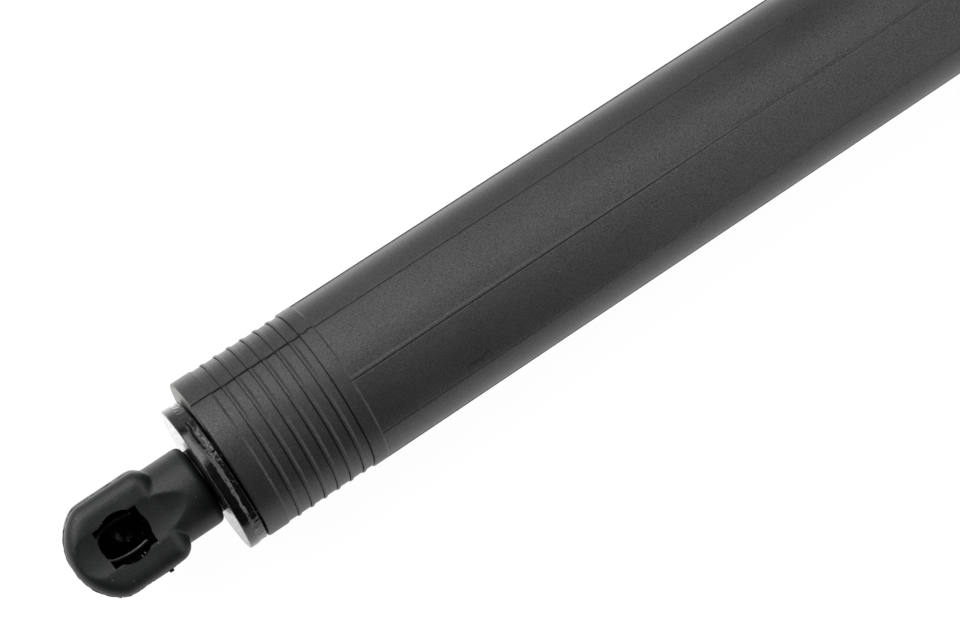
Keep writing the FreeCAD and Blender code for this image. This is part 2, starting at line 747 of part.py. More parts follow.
def build():
    """Every named piece of the strut."""
    socket = ball_socket()
    clip = ball_clip()
    stack = stack_stations()
    rod_bore = ROD_RADIUS + SLIDE_FIT
    return {
        "rod_ball_socket": socket,
        "rod_socket_clip": clip,
        "rod_lock_washer": ring(X_WASHER, WASHER_THICKNESS, WASHER_RADIUS, STUD_HOLE),
        "end_flange": end_flange(),
        "cover_sleeve": cover_sleeve(),
        "mouth_bush": mouth_bush(),
        "dust_wiper": dust_wiper(),
        "spring_plate": ring(X_PLATE, PLATE_THICKNESS, PLATE_RADIUS, STUD_HOLE),
        "helper_spring": helper_spring(),
        "slip_washer": ring(X_SLIP, SLIP_THICKNESS, PLATE_RADIUS, LINER_BORE),
        "bump_stop": ring(X_SPRING, BUMP_LENGTH, BUMP_RADIUS, rod_bore, BUMP_EDGE_RADIUS),
        "piston_rod": piston_rod(),
        "piston_washer": stack_washer(X_STACK, STACK_WASHER_THICKNESS, STACK_WASHER_RADIUS),
        "piston": piston(),
        "piston_ring": piston_ring(),
        "damping_disc": stack_washer(stack["disc"], DAMPING_DISC_THICKNESS, DAMPING_DISC_RADIUS),
        "rivet_washer": stack_washer(stack["end_washer"], END_WASHER_THICKNESS, END_WASHER_RADIUS),
        "pressure_tube": pressure_tube(),
        "rod_guide": rod_guide(),
        "guide_sealing_ring": guide_ring(),
        "rod_seal": rod_seal(),
        "seal_backup_ring": ring(X_BACKUP, BACKUP_LENGTH, TUBE_BORE - SLIDE_FIT, rod_bore),
        "rattle_liner": rattle_liner(),
        "seat_collar": seat_collar(),
        "inner_tube": inner_tube(),
        "tube_plug": tube_plug(),
        "rear_flange": rear_flange(),
        "far_lock_washer": ring(X_REAR_WASHER, WASHER_THICKNESS, WASHER_RADIUS, STUD_HOLE),
        "far_ball_socket": at_far_end(socket),
        "far_socket_clip": at_far_end(clip),
    }


def main():
    """Writes one STEP file for each piece."""
    os.makedirs("parts", exist_ok=True)
    for name, shape in build().items():
        solids = len(shape.Solids)
        print(f"{name}: {solids} solid, {shape.Volume:.0f} mm3, valid {shape.isValid()}")
        shape.exportStep(os.path.join("parts", name + ".step"))
    print(f"far ball at {X_FAR_BALL:.2f}, cover tilt {COVER_TILT:.3f} degrees")


main()
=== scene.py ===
"""Tailgate gas strut: detailed pieces, finishes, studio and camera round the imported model.

All sizes are in metres, in the part's own frame: the origin is the ball seat at the rod end, +X runs
along the strut and +Z out of the mouths of both ball sockets. Angles round the strut are measured
from +Z towards -Y.
"""

import json
import logging
import math
from dataclasses import dataclass
from enum import Enum
from typing import Callable, Iterable, Sequence

import bpy
from mathutils import Euler, Matrix, Vector, noise

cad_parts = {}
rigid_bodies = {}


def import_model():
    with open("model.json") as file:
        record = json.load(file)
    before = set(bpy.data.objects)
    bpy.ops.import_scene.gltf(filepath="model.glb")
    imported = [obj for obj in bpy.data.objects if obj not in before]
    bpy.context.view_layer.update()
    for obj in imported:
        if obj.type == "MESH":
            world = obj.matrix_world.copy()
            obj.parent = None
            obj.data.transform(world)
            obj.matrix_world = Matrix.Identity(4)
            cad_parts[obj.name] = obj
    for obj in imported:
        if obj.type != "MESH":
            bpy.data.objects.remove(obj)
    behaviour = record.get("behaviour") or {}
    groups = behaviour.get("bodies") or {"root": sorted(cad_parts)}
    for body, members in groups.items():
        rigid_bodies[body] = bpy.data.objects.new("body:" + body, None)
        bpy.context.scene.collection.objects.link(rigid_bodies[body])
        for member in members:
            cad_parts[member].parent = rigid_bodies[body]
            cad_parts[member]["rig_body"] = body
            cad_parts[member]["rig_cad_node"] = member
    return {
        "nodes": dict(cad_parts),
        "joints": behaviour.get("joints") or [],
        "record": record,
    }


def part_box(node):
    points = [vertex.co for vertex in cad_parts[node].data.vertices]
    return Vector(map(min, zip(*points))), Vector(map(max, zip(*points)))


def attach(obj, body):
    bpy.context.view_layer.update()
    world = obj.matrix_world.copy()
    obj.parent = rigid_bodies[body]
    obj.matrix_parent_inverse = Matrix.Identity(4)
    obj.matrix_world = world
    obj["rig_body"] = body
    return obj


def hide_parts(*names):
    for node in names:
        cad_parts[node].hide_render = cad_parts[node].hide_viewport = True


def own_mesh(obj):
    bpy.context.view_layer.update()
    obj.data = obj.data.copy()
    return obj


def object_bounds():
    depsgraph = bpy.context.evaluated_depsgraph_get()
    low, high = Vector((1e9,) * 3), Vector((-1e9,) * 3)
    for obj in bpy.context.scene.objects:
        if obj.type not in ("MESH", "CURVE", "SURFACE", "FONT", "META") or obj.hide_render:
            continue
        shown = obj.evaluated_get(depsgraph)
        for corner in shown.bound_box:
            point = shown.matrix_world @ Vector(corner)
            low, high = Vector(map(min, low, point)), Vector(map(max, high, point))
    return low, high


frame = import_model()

CAD_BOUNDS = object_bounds()
LOG = logging.getLogger("gas_strut")
MM = 0.001

# Distance within which two points count as one, on solids and on finely drawn outlines
TOUCH = 0.001 * MM
FINE_TOUCH = 0.0001 * MM
# Radius that stands in for the strut's axis where a turned outline starts or ends on it
CORE = 0.001 * MM
# Angle in degrees that is given to the smooth shading of carried-over nodes
NODE_ANGLE = 32

Corner = tuple[float, ...]


class Combine(Enum):
    """What a tool shape does to the shape that stays."""

    ADD = "UNION"
    CUT = "DIFFERENCE"


def linear(code: str) -> tuple[float, float, float, float]:
    """Turns an sRGB hex colour into linear light.

    Args:
        code: The colour as six hex digits after a hash.

    Returns:
        Linear red, green and blue, and an alpha of 1.
    """
    parts = [int(code[i:i + 2], 16) / 255 for i in (1, 3, 5)]
    red, green, blue = [c / 12.92 if c <= 0.04045 else ((c + 0.055) / 1.055) ** 2.4 for c in parts]
    return red, green, blue, 1.0


def grey(level: float) -> tuple[float, float, float, float]:
    """Gives a neutral colour.

    Args:
        level: Its brightness in linear light.

    Returns:
        Red, green and blue at that level, and an alpha of 1.
    """
    return level, level, level, 1.0


def add_node(
    tree: bpy.types.NodeTree,
    kind: str,
    values: dict | None = None,
    links: dict | None = None,
    **settings: object,
) -> bpy.types.Node:
    """Adds one shader node with its settings, socket values and links.

    Args:
        tree: The node tree that it goes into.
        kind: Blender's name for the node type.
        values: Input socket to constant value.
        links: Input socket to the output socket that feeds it.
        settings: Properties of the node itself.

    Returns:
        The new node.
    """
    made = tree.nodes.new(kind)
    for key, value in settings.items():
        setattr(made, key, value)
    for key, value in (values or {}).items():
        made.inputs[key].default_value = value
    for key, source in (links or {}).items():
        tree.links.new(source, made.inputs[key])
    return made


@dataclass(frozen=True)
class Specks:
    """Fine specks that lie on a surface: dust, pinholes in paint, or bright points painted as glints.

    The spacing and the size are in millimetres. The share is how many places have a speck.
    """

    colour: str
    spacing: float = 1.2
    size: float = 0.11
    share: float = 0.12

    def over(
        self, tree: bpy.types.NodeTree, place: bpy.types.NodeSocket, colour: bpy.types.NodeSocket,
    ) -> bpy.types.NodeSocket:
        """Lays the specks over a colour.

        Args:
            tree: The material's node tree.
            place: Object coordinates in metres.
            colour: The colour below them.

        Returns:
            The colour with specks.
        """
        cells = add_node(
            tree, "ShaderNodeTexVoronoi", {"Scale": 1 / (self.spacing * MM)}, {"Vector": place},
        )
        near = add_node(
            tree, "ShaderNodeMath", {1: self.size / self.spacing}, {0: cells.outputs["Distance"]},
            operation="LESS_THAN",
        )
        chosen = add_node(
            tree, "ShaderNodeMath", {1: self.share}, {0: cells.outputs["Color"]},
            operation="LESS_THAN",
        )
        both = add_node(
            tree, "ShaderNodeMath", links={0: near.outputs[0], 1: chosen.outputs[0]},
            operation="MULTIPLY",
        )
        mixed = add_node(
            tree, "ShaderNodeMix", {7: linear(self.colour)}, {0: both.outputs[0], 6: colour},
            data_type="RGBA",
        )
        return mixed.outputs[2]


@dataclass(frozen=True)
class RubOrShadeMark:
    """A small dull mark: rubbed into a surface, or painted shade where little light reaches.

    The place and the size along each axis are in millimetres and the turn is in degrees about Z.
    The core is the share of the size that is dulled to the full depth.
    """

    place: tuple[float, float, float]
    size: tuple[float, float, float]
    turn: float = 0.0
    depth: float = 0.4
    core: float = 0.4

    def left(self, tree: bpy.types.NodeTree, place: bpy.types.NodeSocket) -> bpy.types.NodeSocket:
        """Gives the share of the shine that the mark leaves.

        Args:
            tree: The material's node tree.
            place: Object coordinates in metres.

        Returns:
            A socket that is 1 away from the mark.
        """
        local = add_node(
            tree, "ShaderNodeMapping",
            {
                "Location": Vector(self.place) * MM, "Rotation": (0, 0, math.radians(self.turn)),
                "Scale": Vector(self.size) * MM,
            },
            {"Vector": place}, vector_type="TEXTURE",
        )
        reach = add_node(
            tree, "ShaderNodeVectorMath", links={0: local.outputs["Vector"]}, operation="LENGTH",
        )
        kept = add_node(
            tree, "ShaderNodeMapRange", {"From Min": self.core, "To Min": 1 - self.depth},
            {"Value": reach.outputs["Value"]},
        )
        return kept.outputs["Result"]


@dataclass(frozen=True)
class Finish:
    """Surface of one material: its colour, how it shines, and its grain at real scale.

    Sizes are in millimetres. The mottle is the slow change of tone that every real surface has. The
    slot, the material slot of the part's record that the finish belongs to, is not used.
    """

    name: str
    slot: str
    base: str
    second: str
    roughness: tuple[float, float] = (0.4, 0.5)
    metallic: float = 0.0
    specular: float = 0.5
    coat: float = 0.0
    coat_roughness: float = 0.1
    mottle_mm: float = 9.0
    grain_mm: float = 0.4
    grain_height_mm: float = 0.01
    grain_strength: float = 0.5
    grain_shine: float = 0.0
    specks: Specks | None = None
    marks: tuple[RubOrShadeMark, ...] = ()

    def height(self, tree: bpy.types.NodeTree, place: bpy.types.NodeSocket) -> bpy.types.NodeSocket:
        """Gives the height pattern of the grain.

        Args:
            tree: The material's node tree.
            place: Object coordinates in metres.

        Returns:
            A socket with heights about 0 to 1.
        """
        grain = add_node(
            tree, "ShaderNodeTexNoise",
            {"Scale": 1 / (self.grain_mm * MM), "Detail": 3.0, "Roughness": 0.6},
            {"Vector": place},
        )
        return grain.outputs["Fac"]

    def tone(self, tree: bpy.types.NodeTree, place: bpy.types.NodeSocket) -> bpy.types.NodeSocket:
        """Gives the slow pattern that mixes the two colours and the two roughnesses.

        Args:
            tree: The material's node tree.
            place: Object coordinates in metres.

        Returns:
            A socket from 0 to 1.
        """
        mottle = add_node(
            tree, "ShaderNodeTexNoise",
            {"Scale": 1 / (self.mottle_mm * MM), "Detail": 4.0, "Roughness": 0.55},
            {"Vector": place},
        )
        spread = add_node(
            tree, "ShaderNodeMapRange",
            {"From Min": 0.3, "From Max": 0.7},
            {"Value": mottle.outputs["Fac"]},
        )
        return spread.outputs["Result"]

    def shine(
        self, tree: bpy.types.NodeTree, place: bpy.types.NodeSocket, grain: bpy.types.NodeSocket,
    ) -> bpy.types.NodeSocket:
        """Gives the specular level, which the grain, the rub marks and the marks of painted shade break
        up.

        Args:
            tree: The material's node tree.
            place: Object coordinates in metres.
            grain: The height pattern of the grain.

        Returns:
            A socket with the specular level.
        """
        spread = add_node(
            tree, "ShaderNodeMapRange",
            {
                "From Min": 0.3, "From Max": 0.7, "To Min": self.specular * (1 - self.grain_shine),
                "To Max": self.specular * (1 + self.grain_shine),
            },
            {"Value": grain},
        )
        level = spread.outputs["Result"]
        for mark in self.marks:
            level = add_node(
                tree, "ShaderNodeMath", links={0: level, 1: mark.left(tree, place)},
                operation="MULTIPLY",
            ).outputs[0]
        return level

    def make(self) -> bpy.types.Material:
        """Builds the node material.

        Returns:
            The material, which reads Object coordinates.
        """
        material = bpy.data.materials.new(self.name)
        material.use_nodes = True
        tree = material.node_tree
        tree.nodes.clear()
        place = add_node(tree, "ShaderNodeTexCoord").outputs["Object"]
        tone = self.tone(tree, place)
        colour = add_node(
            tree, "ShaderNodeMix", {6: linear(self.base), 7: linear(self.second)}, {0: tone},
            data_type="RGBA",
        )
        rough = add_node(
            tree, "ShaderNodeMapRange",
            {"To Min": self.roughness[0], "To Max": self.roughness[1]}, {"Value": tone},
        )
        grain = self.height(tree, place)
        bump = add_node(
            tree, "ShaderNodeBump",
            {"Strength": self.grain_strength, "Distance": self.grain_height_mm * MM},
            {"Height": grain},
        )
        seen = colour.outputs[2]
        if self.specks:
            seen = self.specks.over(tree, place, seen)
        constants = {
            "Metallic": self.metallic,
            "Coat Weight": self.coat,
            "Coat Roughness": self.coat_roughness,
        }
        links = {
            "Base Color": seen, "Roughness": rough.outputs["Result"], "Normal": bump.outputs["Normal"],
        }
        if self.metallic == 0 and self.grain_shine == 0:
            constants["Specular IOR Level"] = self.specular
        elif self.metallic == 0:
            links["Specular IOR Level"] = self.shine(tree, place, grain)
        shader = add_node(tree, "ShaderNodeBsdfPrincipled", constants, links)
        add_node(tree, "ShaderNodeOutputMaterial", links={"Surface": shader.outputs["BSDF"]})
        return material


@dataclass(frozen=True)
class TurnedFinish(Finish):
    """Finish with fine rings round the strut's axis, as a lathe or a grinding wheel leaves them."""

    ring_mm: float = 0.25

    def height(self, tree: bpy.types.NodeTree, place: bpy.types.NodeSocket) -> bpy.types.NodeSocket:
        """Gives rings that repeat along X, broken up a little.

        Args:
            tree: The material's node tree.
            place: Object coordinates in metres.

        Returns:
            A socket with heights about 0 to 1.
        """
        stretched = add_node(
            tree, "ShaderNodeMapping", {"Scale": (1.0, 0.03, 0.03)}, {"Vector": place},
        )
        rings = add_node(
            tree, "ShaderNodeTexNoise",
            {"Scale": 1 / (self.ring_mm * MM), "Detail": 2.0, "Roughness": 0.5},
            {"Vector": stretched.outputs["Vector"]},
        )
        return rings.outputs["Fac"]


@dataclass(frozen=True)
class FibreFinish(Finish):
    """Finish of pressed fibres, drawn as short crossed strands."""

    def height(self, tree: bpy.types.NodeTree, place: bpy.types.NodeSocket) -> bpy.types.NodeSocket:
        """Gives a tangle of strands.

        Args:
            tree: The material's node tree.
            place: Object coordinates in metres.

        Returns:
            A socket with heights about 0 to 1.
        """
        strands = add_node(
            tree, "ShaderNodeTexNoise",
            {"Scale": 1 / (self.grain_mm * MM), "Detail": 6.0, "Roughness": 0.7, "Distortion": 2.5},
            {"Vector": place},
        )
        return strands.outputs["Fac"]


# Injection moulded polypropylene from a spark eroded tool: a fine matt grain that sparkles a little.
COVER_PLASTIC = Finish(
    "grained_polypropylene", "cover_plastic", "#1d1d1e", "#262627", (0.41, 0.46), mottle_mm=22.0,
    grain_mm=0.22, grain_height_mm=0.022, grain_strength=0.6, grain_shine=0.8,
    specks=Specks("#5c5c56", share=0.08),
    marks=(
        RubOrShadeMark((78.8, -9.7, 16.3), (3.0, 0.55, 3.0), turn=-4, depth=0.6),
        RubOrShadeMark((81.6, -9.3, 16.5), (1.6, 0.4, 3.0), turn=6, depth=0.6),
    ),
)
# The same plastic, paler and dull: painted light on the upper half of the cover's end face, where it
# catches the light.
PALE_LIT_PLASTIC = Finish(
    "painted_light_polypropylene", "cover_plastic", "#62635e", "#74756e", (0.45, 0.58), mottle_mm=1.5,
    grain_mm=0.2, grain_height_mm=0.03, grain_shine=0.4,
)
# Glass filled nylon moulded in a blasted tool: satin, with a faint cloud and a little dust.
# Its shine is cut away at the neck's end as painted shade beside the end plate.
SOCKET_NYLON = Finish(
    "moulded_glass_filled_nylon", "socket_nylon", "#0f1110", "#141716", (0.44, 0.52), specular=0.37,
    mottle_mm=5.0, grain_mm=0.25, grain_height_mm=0.012, grain_strength=0.45, grain_shine=0.4,
    specks=Specks("#6c6c64", share=0.3), marks=(RubOrShadeMark((20.0, 0, 0), (2.6, 12.0, 12.0), depth=0.95),),
)
# The same nylon under a film of ball grease: wet black, made darker still as painted shade inside the
# mouth and the seat, with bright specks as painted glints.
GREASE_AND_SHADE_NYLON = Finish(
    "greased_nylon_painted_shade", "socket_nylon", "#040404", "#060606", (0.1, 0.25), specular=0.15,
    mottle_mm=1.2, grain_mm=0.7, grain_height_mm=0.1, grain_strength=0.8,
    specks=Specks("#b0b0a6", spacing=1.1, size=0.15, share=0.3),
)
# Thick black gloss enamel over welded steel: it runs together and mirrors its surroundings.
FLANGE_PAINT = Finish(
    "gloss_enamel_on_steel", "flange_paint", "#0a0a0b", "#101012", (0.12, 0.2), mottle_mm=1.4,
    grain_mm=0.7, grain_height_mm=0.05, grain_strength=0.6,
)
# The plate's face, where the spray fell dry: greyer and grainy, with pinholes and grit.
FLANGE_FACE = Finish(
    "dry_sprayed_enamel", "flange_paint", "#1a1a1b", "#2c2c2d", (0.12, 0.26), specular=0.7,
    mottle_mm=1.0, grain_mm=0.6, grain_height_mm=0.12, grain_strength=1.0, grain_shine=0.9,
    specks=Specks("#8b8b86", spacing=0.9, size=0.1, share=0.2),
)
# Oil blackened spring wire: nearly black, with a fine bright line where it catches the light.
CLIP_STEEL = Finish(
    "oil_blackened_spring_steel", "clip_steel", "#38383a", "#262628", (0.2, 0.32), metallic=1.0,
    mottle_mm=1.5, grain_mm=0.12, grain_height_mm=0.004,
)
# Zinc plate with a thin passivation: pale, slightly uneven grey.
ZINC_STEEL = TurnedFinish(
    "zinc_plated_steel", "zinc_steel", "#a9aba6", "#8f928c", (0.3, 0.45), metallic=1.0,
    mottle_mm=3.0, grain_height_mm=0.004, ring_mm=0.3,
)
# Zinc plate with a black passivation: dark and slightly blotchy. It goes on the lock washers as painted
# shade, where they sit between the neck and the end plate.
BLACK_ZINC_SHADE = TurnedFinish(
    "black_zinc_painted_shade", "zinc_steel", "#1c1c1d", "#262627", (0.35, 0.5), metallic=1.0,
    mottle_mm=2.0, grain_height_mm=0.004, ring_mm=0.3,
)
# Ground and hard chromed rod: nearly a mirror, with the faintest grinding rings.
ROD_CHROME = TurnedFinish(
    "ground_hard_chrome", "rod_chrome", "#b9bbbe", "#aeb0b4", (0.06, 0.1), metallic=1.0,
    mottle_mm=12.0, grain_height_mm=0.001, grain_strength=0.3, ring_mm=0.12,
)
# Satin black electrophoretic paint on drawn tube: slight orange peel.
TUBE_PAINT = Finish(
    "satin_black_paint_on_tube", "tube_paint", "#1a1a1b", "#1e1e1f", (0.3, 0.38), coat=0.25,
    coat_roughness=0.22, mottle_mm=16.0, grain_mm=1.1, grain_height_mm=0.02, grain_strength=0.35,
)
# Nitrile rubber from a polished tool: dull, with a trace of bloom.
SEAL_RUBBER = Finish(
    "nitrile_rubber", "seal_rubber", "#1b1b1b", "#262625", (0.55, 0.7), specular=0.35,
    mottle_mm=2.5, grain_mm=0.3, grain_height_mm=0.01,
)
# Turned brass: warm and bright in fine rings.
GUIDE_BRASS = TurnedFinish(
    "turned_brass", "guide_brass", "#c7a257", "#b48f47", (0.2, 0.3), metallic=1.0, mottle_mm=4.0,
    grain_height_mm=0.004, ring_mm=0.2,
)
# Die cast aluminium, turned on its running faces.
PISTON_ALLOY = TurnedFinish(
    "turned_aluminium", "piston_alloy", "#b4b5b8", "#9c9da1", (0.3, 0.42), metallic=1.0,
    mottle_mm=3.0, grain_height_mm=0.004, ring_mm=0.22,
)
# Black acetal bush: smooth, slightly waxy.
BUSH_PLASTIC = Finish(
    "moulded_black_acetal", "bush_plastic", "#1f1f20", "#242425", (0.3, 0.4), mottle_mm=6.0,
    grain_mm=0.5, grain_height_mm=0.008,
)
# Unfilled nylon in its own ivory: waxy and a little cloudy.
LINER_PLASTIC = Finish(
    "natural_nylon", "liner_plastic", "#d8d3c3", "#cbc5b3", (0.35, 0.5), mottle_mm=7.0,
    grain_mm=0.6, grain_height_mm=0.008,
)
# Pressed wool felt: fibres, no shine.
FELT = FibreFinish(
    "pressed_felt", "felt", "#3c3b39", "#4a4946", (0.9, 1.0), specular=0.1, mottle_mm=1.5,
    grain_mm=0.35, grain_height_mm=0.08, grain_strength=0.9,
)
# Spring wire with black dip paint: even, satin, slightly thick in the valleys.
SPRING_PAINT = Finish(
    "dip_painted_spring_wire", "spring_paint", "#1d1e1f", "#262728", (0.35, 0.48), coat=0.15,
    coat_roughness=0.3, mottle_mm=6.0, grain_mm=0.7, grain_height_mm=0.015,
)


class Paintshop:
    """Makes each finish once and puts it on pieces."""

    def __init__(self) -> None:
        """Starts with no material made."""
        self.made: dict[str, bpy.types.Material] = {}

    def dress(self, piece: bpy.types.Object, *finishes: Finish) -> None:
        """Puts one or more finishes on a piece, the first one all over.

        Args:
            piece: A mesh object, new or carried over.
            finishes: What it is made of.
        """
        piece.data.materials.clear()
        for finish in finishes:
            if finish.name not in self.made:
                self.made[finish.name] = finish.make()
            piece.data.materials.append(self.made[finish.name])

    def dress_node(self, node: str, finish: Finish) -> None:
        """Puts a finish on a carried-over node and shades it smooth over a live weld.

        Args:
            node: The node's name.
            finish: What it is made of.
        """
        piece = frame["nodes"][node]
        self.dress(piece, finish)
        weld = piece.modifiers.new("weld", "WELD")
        weld.merge_threshold = TOUCH
        select_only(piece)
        bpy.ops.object.shade_smooth_by_angle(angle=math.radians(NODE_ANGLE))
        LOG.info("node %s dressed in %s", node, finish.name)


def select_only(*pieces: bpy.types.Object) -> None:
    """Selects these objects and nothing else, the first one active.

    Args:
        pieces: The objects.
    """
    if bpy.context.object and bpy.context.object.mode != "OBJECT":
        bpy.ops.object.mode_set(mode="OBJECT")
    bpy.ops.object.select_all(action="DESELECT")
    for piece in pieces:
        piece.select_set(True)
    bpy.context.view_layer.objects.active = pieces[0]


def rename(piece: bpy.types.Object, name: str) -> bpy.types.Object:
    """Names an object and its mesh alike.

    Args:
        piece: The object.
        name: Its new name, which no other piece has.

    Returns:
        The object.
    """
    piece.name = name
    piece.data.name = name
    return piece


def apply_all(piece: bpy.types.Object) -> None:
    """Applies every modifier of a piece, in order.

    Args:
        piece: A mesh object.
    """
    select_only(piece)
    for modifier in list(piece.modifiers):
        bpy.ops.object.modifier_apply(modifier=modifier.name)


def settle(piece: bpy.types.Object) -> None:
    """Moves a piece's place into its mesh, so that its object sits at the origin.

    Args:
        piece: A mesh object.
    """
    select_only(piece)
    bpy.ops.object.transform_apply(location=True, rotation=True, scale=True)


def tidy_faces(piece: bpy.types.Object, merge: float = TOUCH) -> None:
    """Merges doubled points and turns all faces outwards.

    Args:
        piece: A closed mesh object.
        merge: Distance within which points become one.
    """
    select_only(piece)
    bpy.ops.object.mode_set(mode="EDIT")
    bpy.ops.mesh.select_all(action="SELECT")
    bpy.ops.mesh.remove_doubles(threshold=merge)
    bpy.ops.mesh.normals_make_consistent(inside=False)
    bpy.ops.object.mode_set(mode="OBJECT")


def even_shading(piece: bpy.types.Object, degrees: float) -> None:
    """Shades a piece smooth, with large faces left flat and edges above an angle left sharp.

    Args:
        piece: A mesh object.
        degrees: Angle above which an edge stays sharp.
    """
    select_only(piece)
    bpy.ops.object.shade_smooth_by_angle(angle=math.radians(degrees))
    even = piece.modifiers.new("even", "WEIGHTED_NORMAL")
    even.keep_sharp = True
    even.weight = 100
    apply_all(piece)


def rounded(corners: Sequence[Corner], segments: int = 4) -> list[tuple[float, float]]:
    """Replaces corners that have a radius by short arcs.

    Args:
        corners: Closed outline as (x, r) or (x, r, radius).
        segments: Chords in each arc.

    Returns:
        The outline's points as (x, r).
    """
    points = []
    for i, corner in enumerate(corners):
        here = Vector(corner[:2])
        if len(corner) < 3:
            points.append(tuple(here))
            continue
        back = (Vector(corners[i - 1][:2]) - here).normalized()
        ahead = (Vector(corners[(i + 1) % len(corners)][:2]) - here).normalized()
        half = back.angle(ahead) / 2
        centre = here + (back + ahead).normalized() * (corner[2] / math.sin(half))
        start = here + back * (corner[2] / math.tan(half)) - centre
        sweep = start.angle_signed(here + ahead * (corner[2] / math.tan(half)) - centre)
        for k in range(segments + 1):
            turned = start.copy()
            turned.rotate(Matrix.Rotation(-sweep * k / segments, 2))
            points.append(tuple(centre + turned))
    return points


def drawn(name: str, points: Sequence[Vector]) -> bpy.types.Object:
    """Draws a closed loop of edges, point by point.

    Args:
        name: The new object's name.
        points: The loop's points in order.

    Returns:
        The object, which has edges only.
    """
    bpy.ops.object.select_all(action="DESELECT")
    bpy.ops.mesh.primitive_plane_add(size=MM, location=(0, 0, 0))
    piece = rename(bpy.context.object, name)
    bpy.ops.object.mode_set(mode="EDIT")
    bpy.ops.mesh.select_mode(type="VERT")
    bpy.ops.mesh.merge(type="CENTER")
    bpy.ops.transform.translate(value=points[0])
    loop = list(points)
    for here, following in zip(loop, loop[1:] + loop[:1]):
        bpy.ops.mesh.extrude_region_move(TRANSFORM_OT_translate={"value": following - here})
    bpy.ops.mesh.select_all(action="SELECT")
    bpy.ops.mesh.remove_doubles(threshold=FINE_TOUCH)
    bpy.ops.object.mode_set(mode="OBJECT")
    return piece


def turned_piece(
    name: str, corners: Sequence[Corner], steps: int, segments: int = 4,
) -> bpy.types.Object:
    """Spins a closed half outline round the strut's axis.

    Args:
        name: The piece's name.
        corners: Outline as (x, r) or (x, r, radius).
        steps: Steps in the full turn.
        segments: Chords in each rounded corner.

    Returns:
        The closed piece.
    """
    piece = drawn(name, [Vector((x, 0, r)) for x, r in rounded(corners, segments)])
    bpy.ops.object.mode_set(mode="EDIT")
    bpy.ops.mesh.select_all(action="SELECT")
    bpy.ops.mesh.spin(steps=steps, angle=math.tau, center=(0, 0, 0), axis=(1, 0, 0))
    bpy.ops.object.mode_set(mode="OBJECT")
    tidy_faces(piece, FINE_TOUCH)
    return piece


def combine(
    piece: bpy.types.Object, tools: Iterable[bpy.types.Object], how: Combine,
) -> bpy.types.Object:
    """Joins other shapes to a piece or takes them away, and removes them.

    Args:
        piece: The shape that stays.
        tools: The shapes that are used up.
        how: What each tool does to the piece.

    Returns:
        The piece.
    """
    for tool in tools:
        modifier = piece.modifiers.new("combine", "BOOLEAN")
        modifier.operation = how.value
        modifier.solver = "EXACT"
        modifier.object = tool
        apply_all(piece)
        bpy.data.objects.remove(tool)
    return piece


def round_angle(y: float, z: float) -> float:
    """Gives the angle of a place round the strut.

    Args:
        y: The place across the strut.
        z: The place above its axis.

    Returns:
        Degrees from +Z towards -Y.
    """
    return math.degrees(math.atan2(-y, z))


def angle_gap(a: float, b: float) -> float:
    """Gives how far one angle is past another.

    Args:
        a: The angle that is measured, in degrees.
        b: The angle that it is measured from.

    Returns:
        Degrees from -180 to 180.
    """
    return (a - b + 180) % 360 - 180


def ramp(value: float, low: float, high: float) -> float:
    """Eases from one end of a range to the other.

    Args:
        value: The place in the range.
        low: Where the step starts.
        high: Where it ends.

    Returns:
        A share from 0 at low to 1 at high.
    """
    t = min(max((value - low) / (high - low), 0.0), 1.0)
    return t * t * (3 - 2 * t)


@dataclass(frozen=True)
class MouldLine:
    """One long line on the cover, where two slides of the mould meet.

    Sizes are in millimetres and the angle is in degrees. The crest lies before the line and the
    groove just past it. The drop is how much lower the panel past the line lies. Where the tool is
    worn, the crest is gone and a second groove shows in its place. The seam is the one line that
    also runs over the grip.
    """

    angle: float
    crest: float = 0.0
    groove: float = 0.0
    width: float = 0.2
    drop: float = 0.0
    seam: bool = False
    crest_rise: tuple[float, float] = (-0.85, -0.25)
    crest_fall: tuple[float, float] = (-0.1, 0.25)
    groove_place: float = 0.12
    second_place: float = -0.5
    second_groove: float = 0.16

    def height(self, away: float, worn: float) -> float:
        """Gives the height of the crest and the grooves beside the line.

        Args:
            away: Distance past the line in millimetres.
            worn: How worn the tool is here, from 0 to 1.

        Returns:
            The height in millimetres.
        """
        crest = ramp(away, *self.crest_rise) * (1 - ramp(away, *self.crest_fall))
        valley = max(0.0, 1 - abs(away - self.groove_place) / self.width)
        second = max(0.0, 1 - abs(away - self.second_place) / self.width) * worn * (self.crest > 0)
        return self.crest * (1 - worn) * crest - self.groove * valley - self.second_groove * second


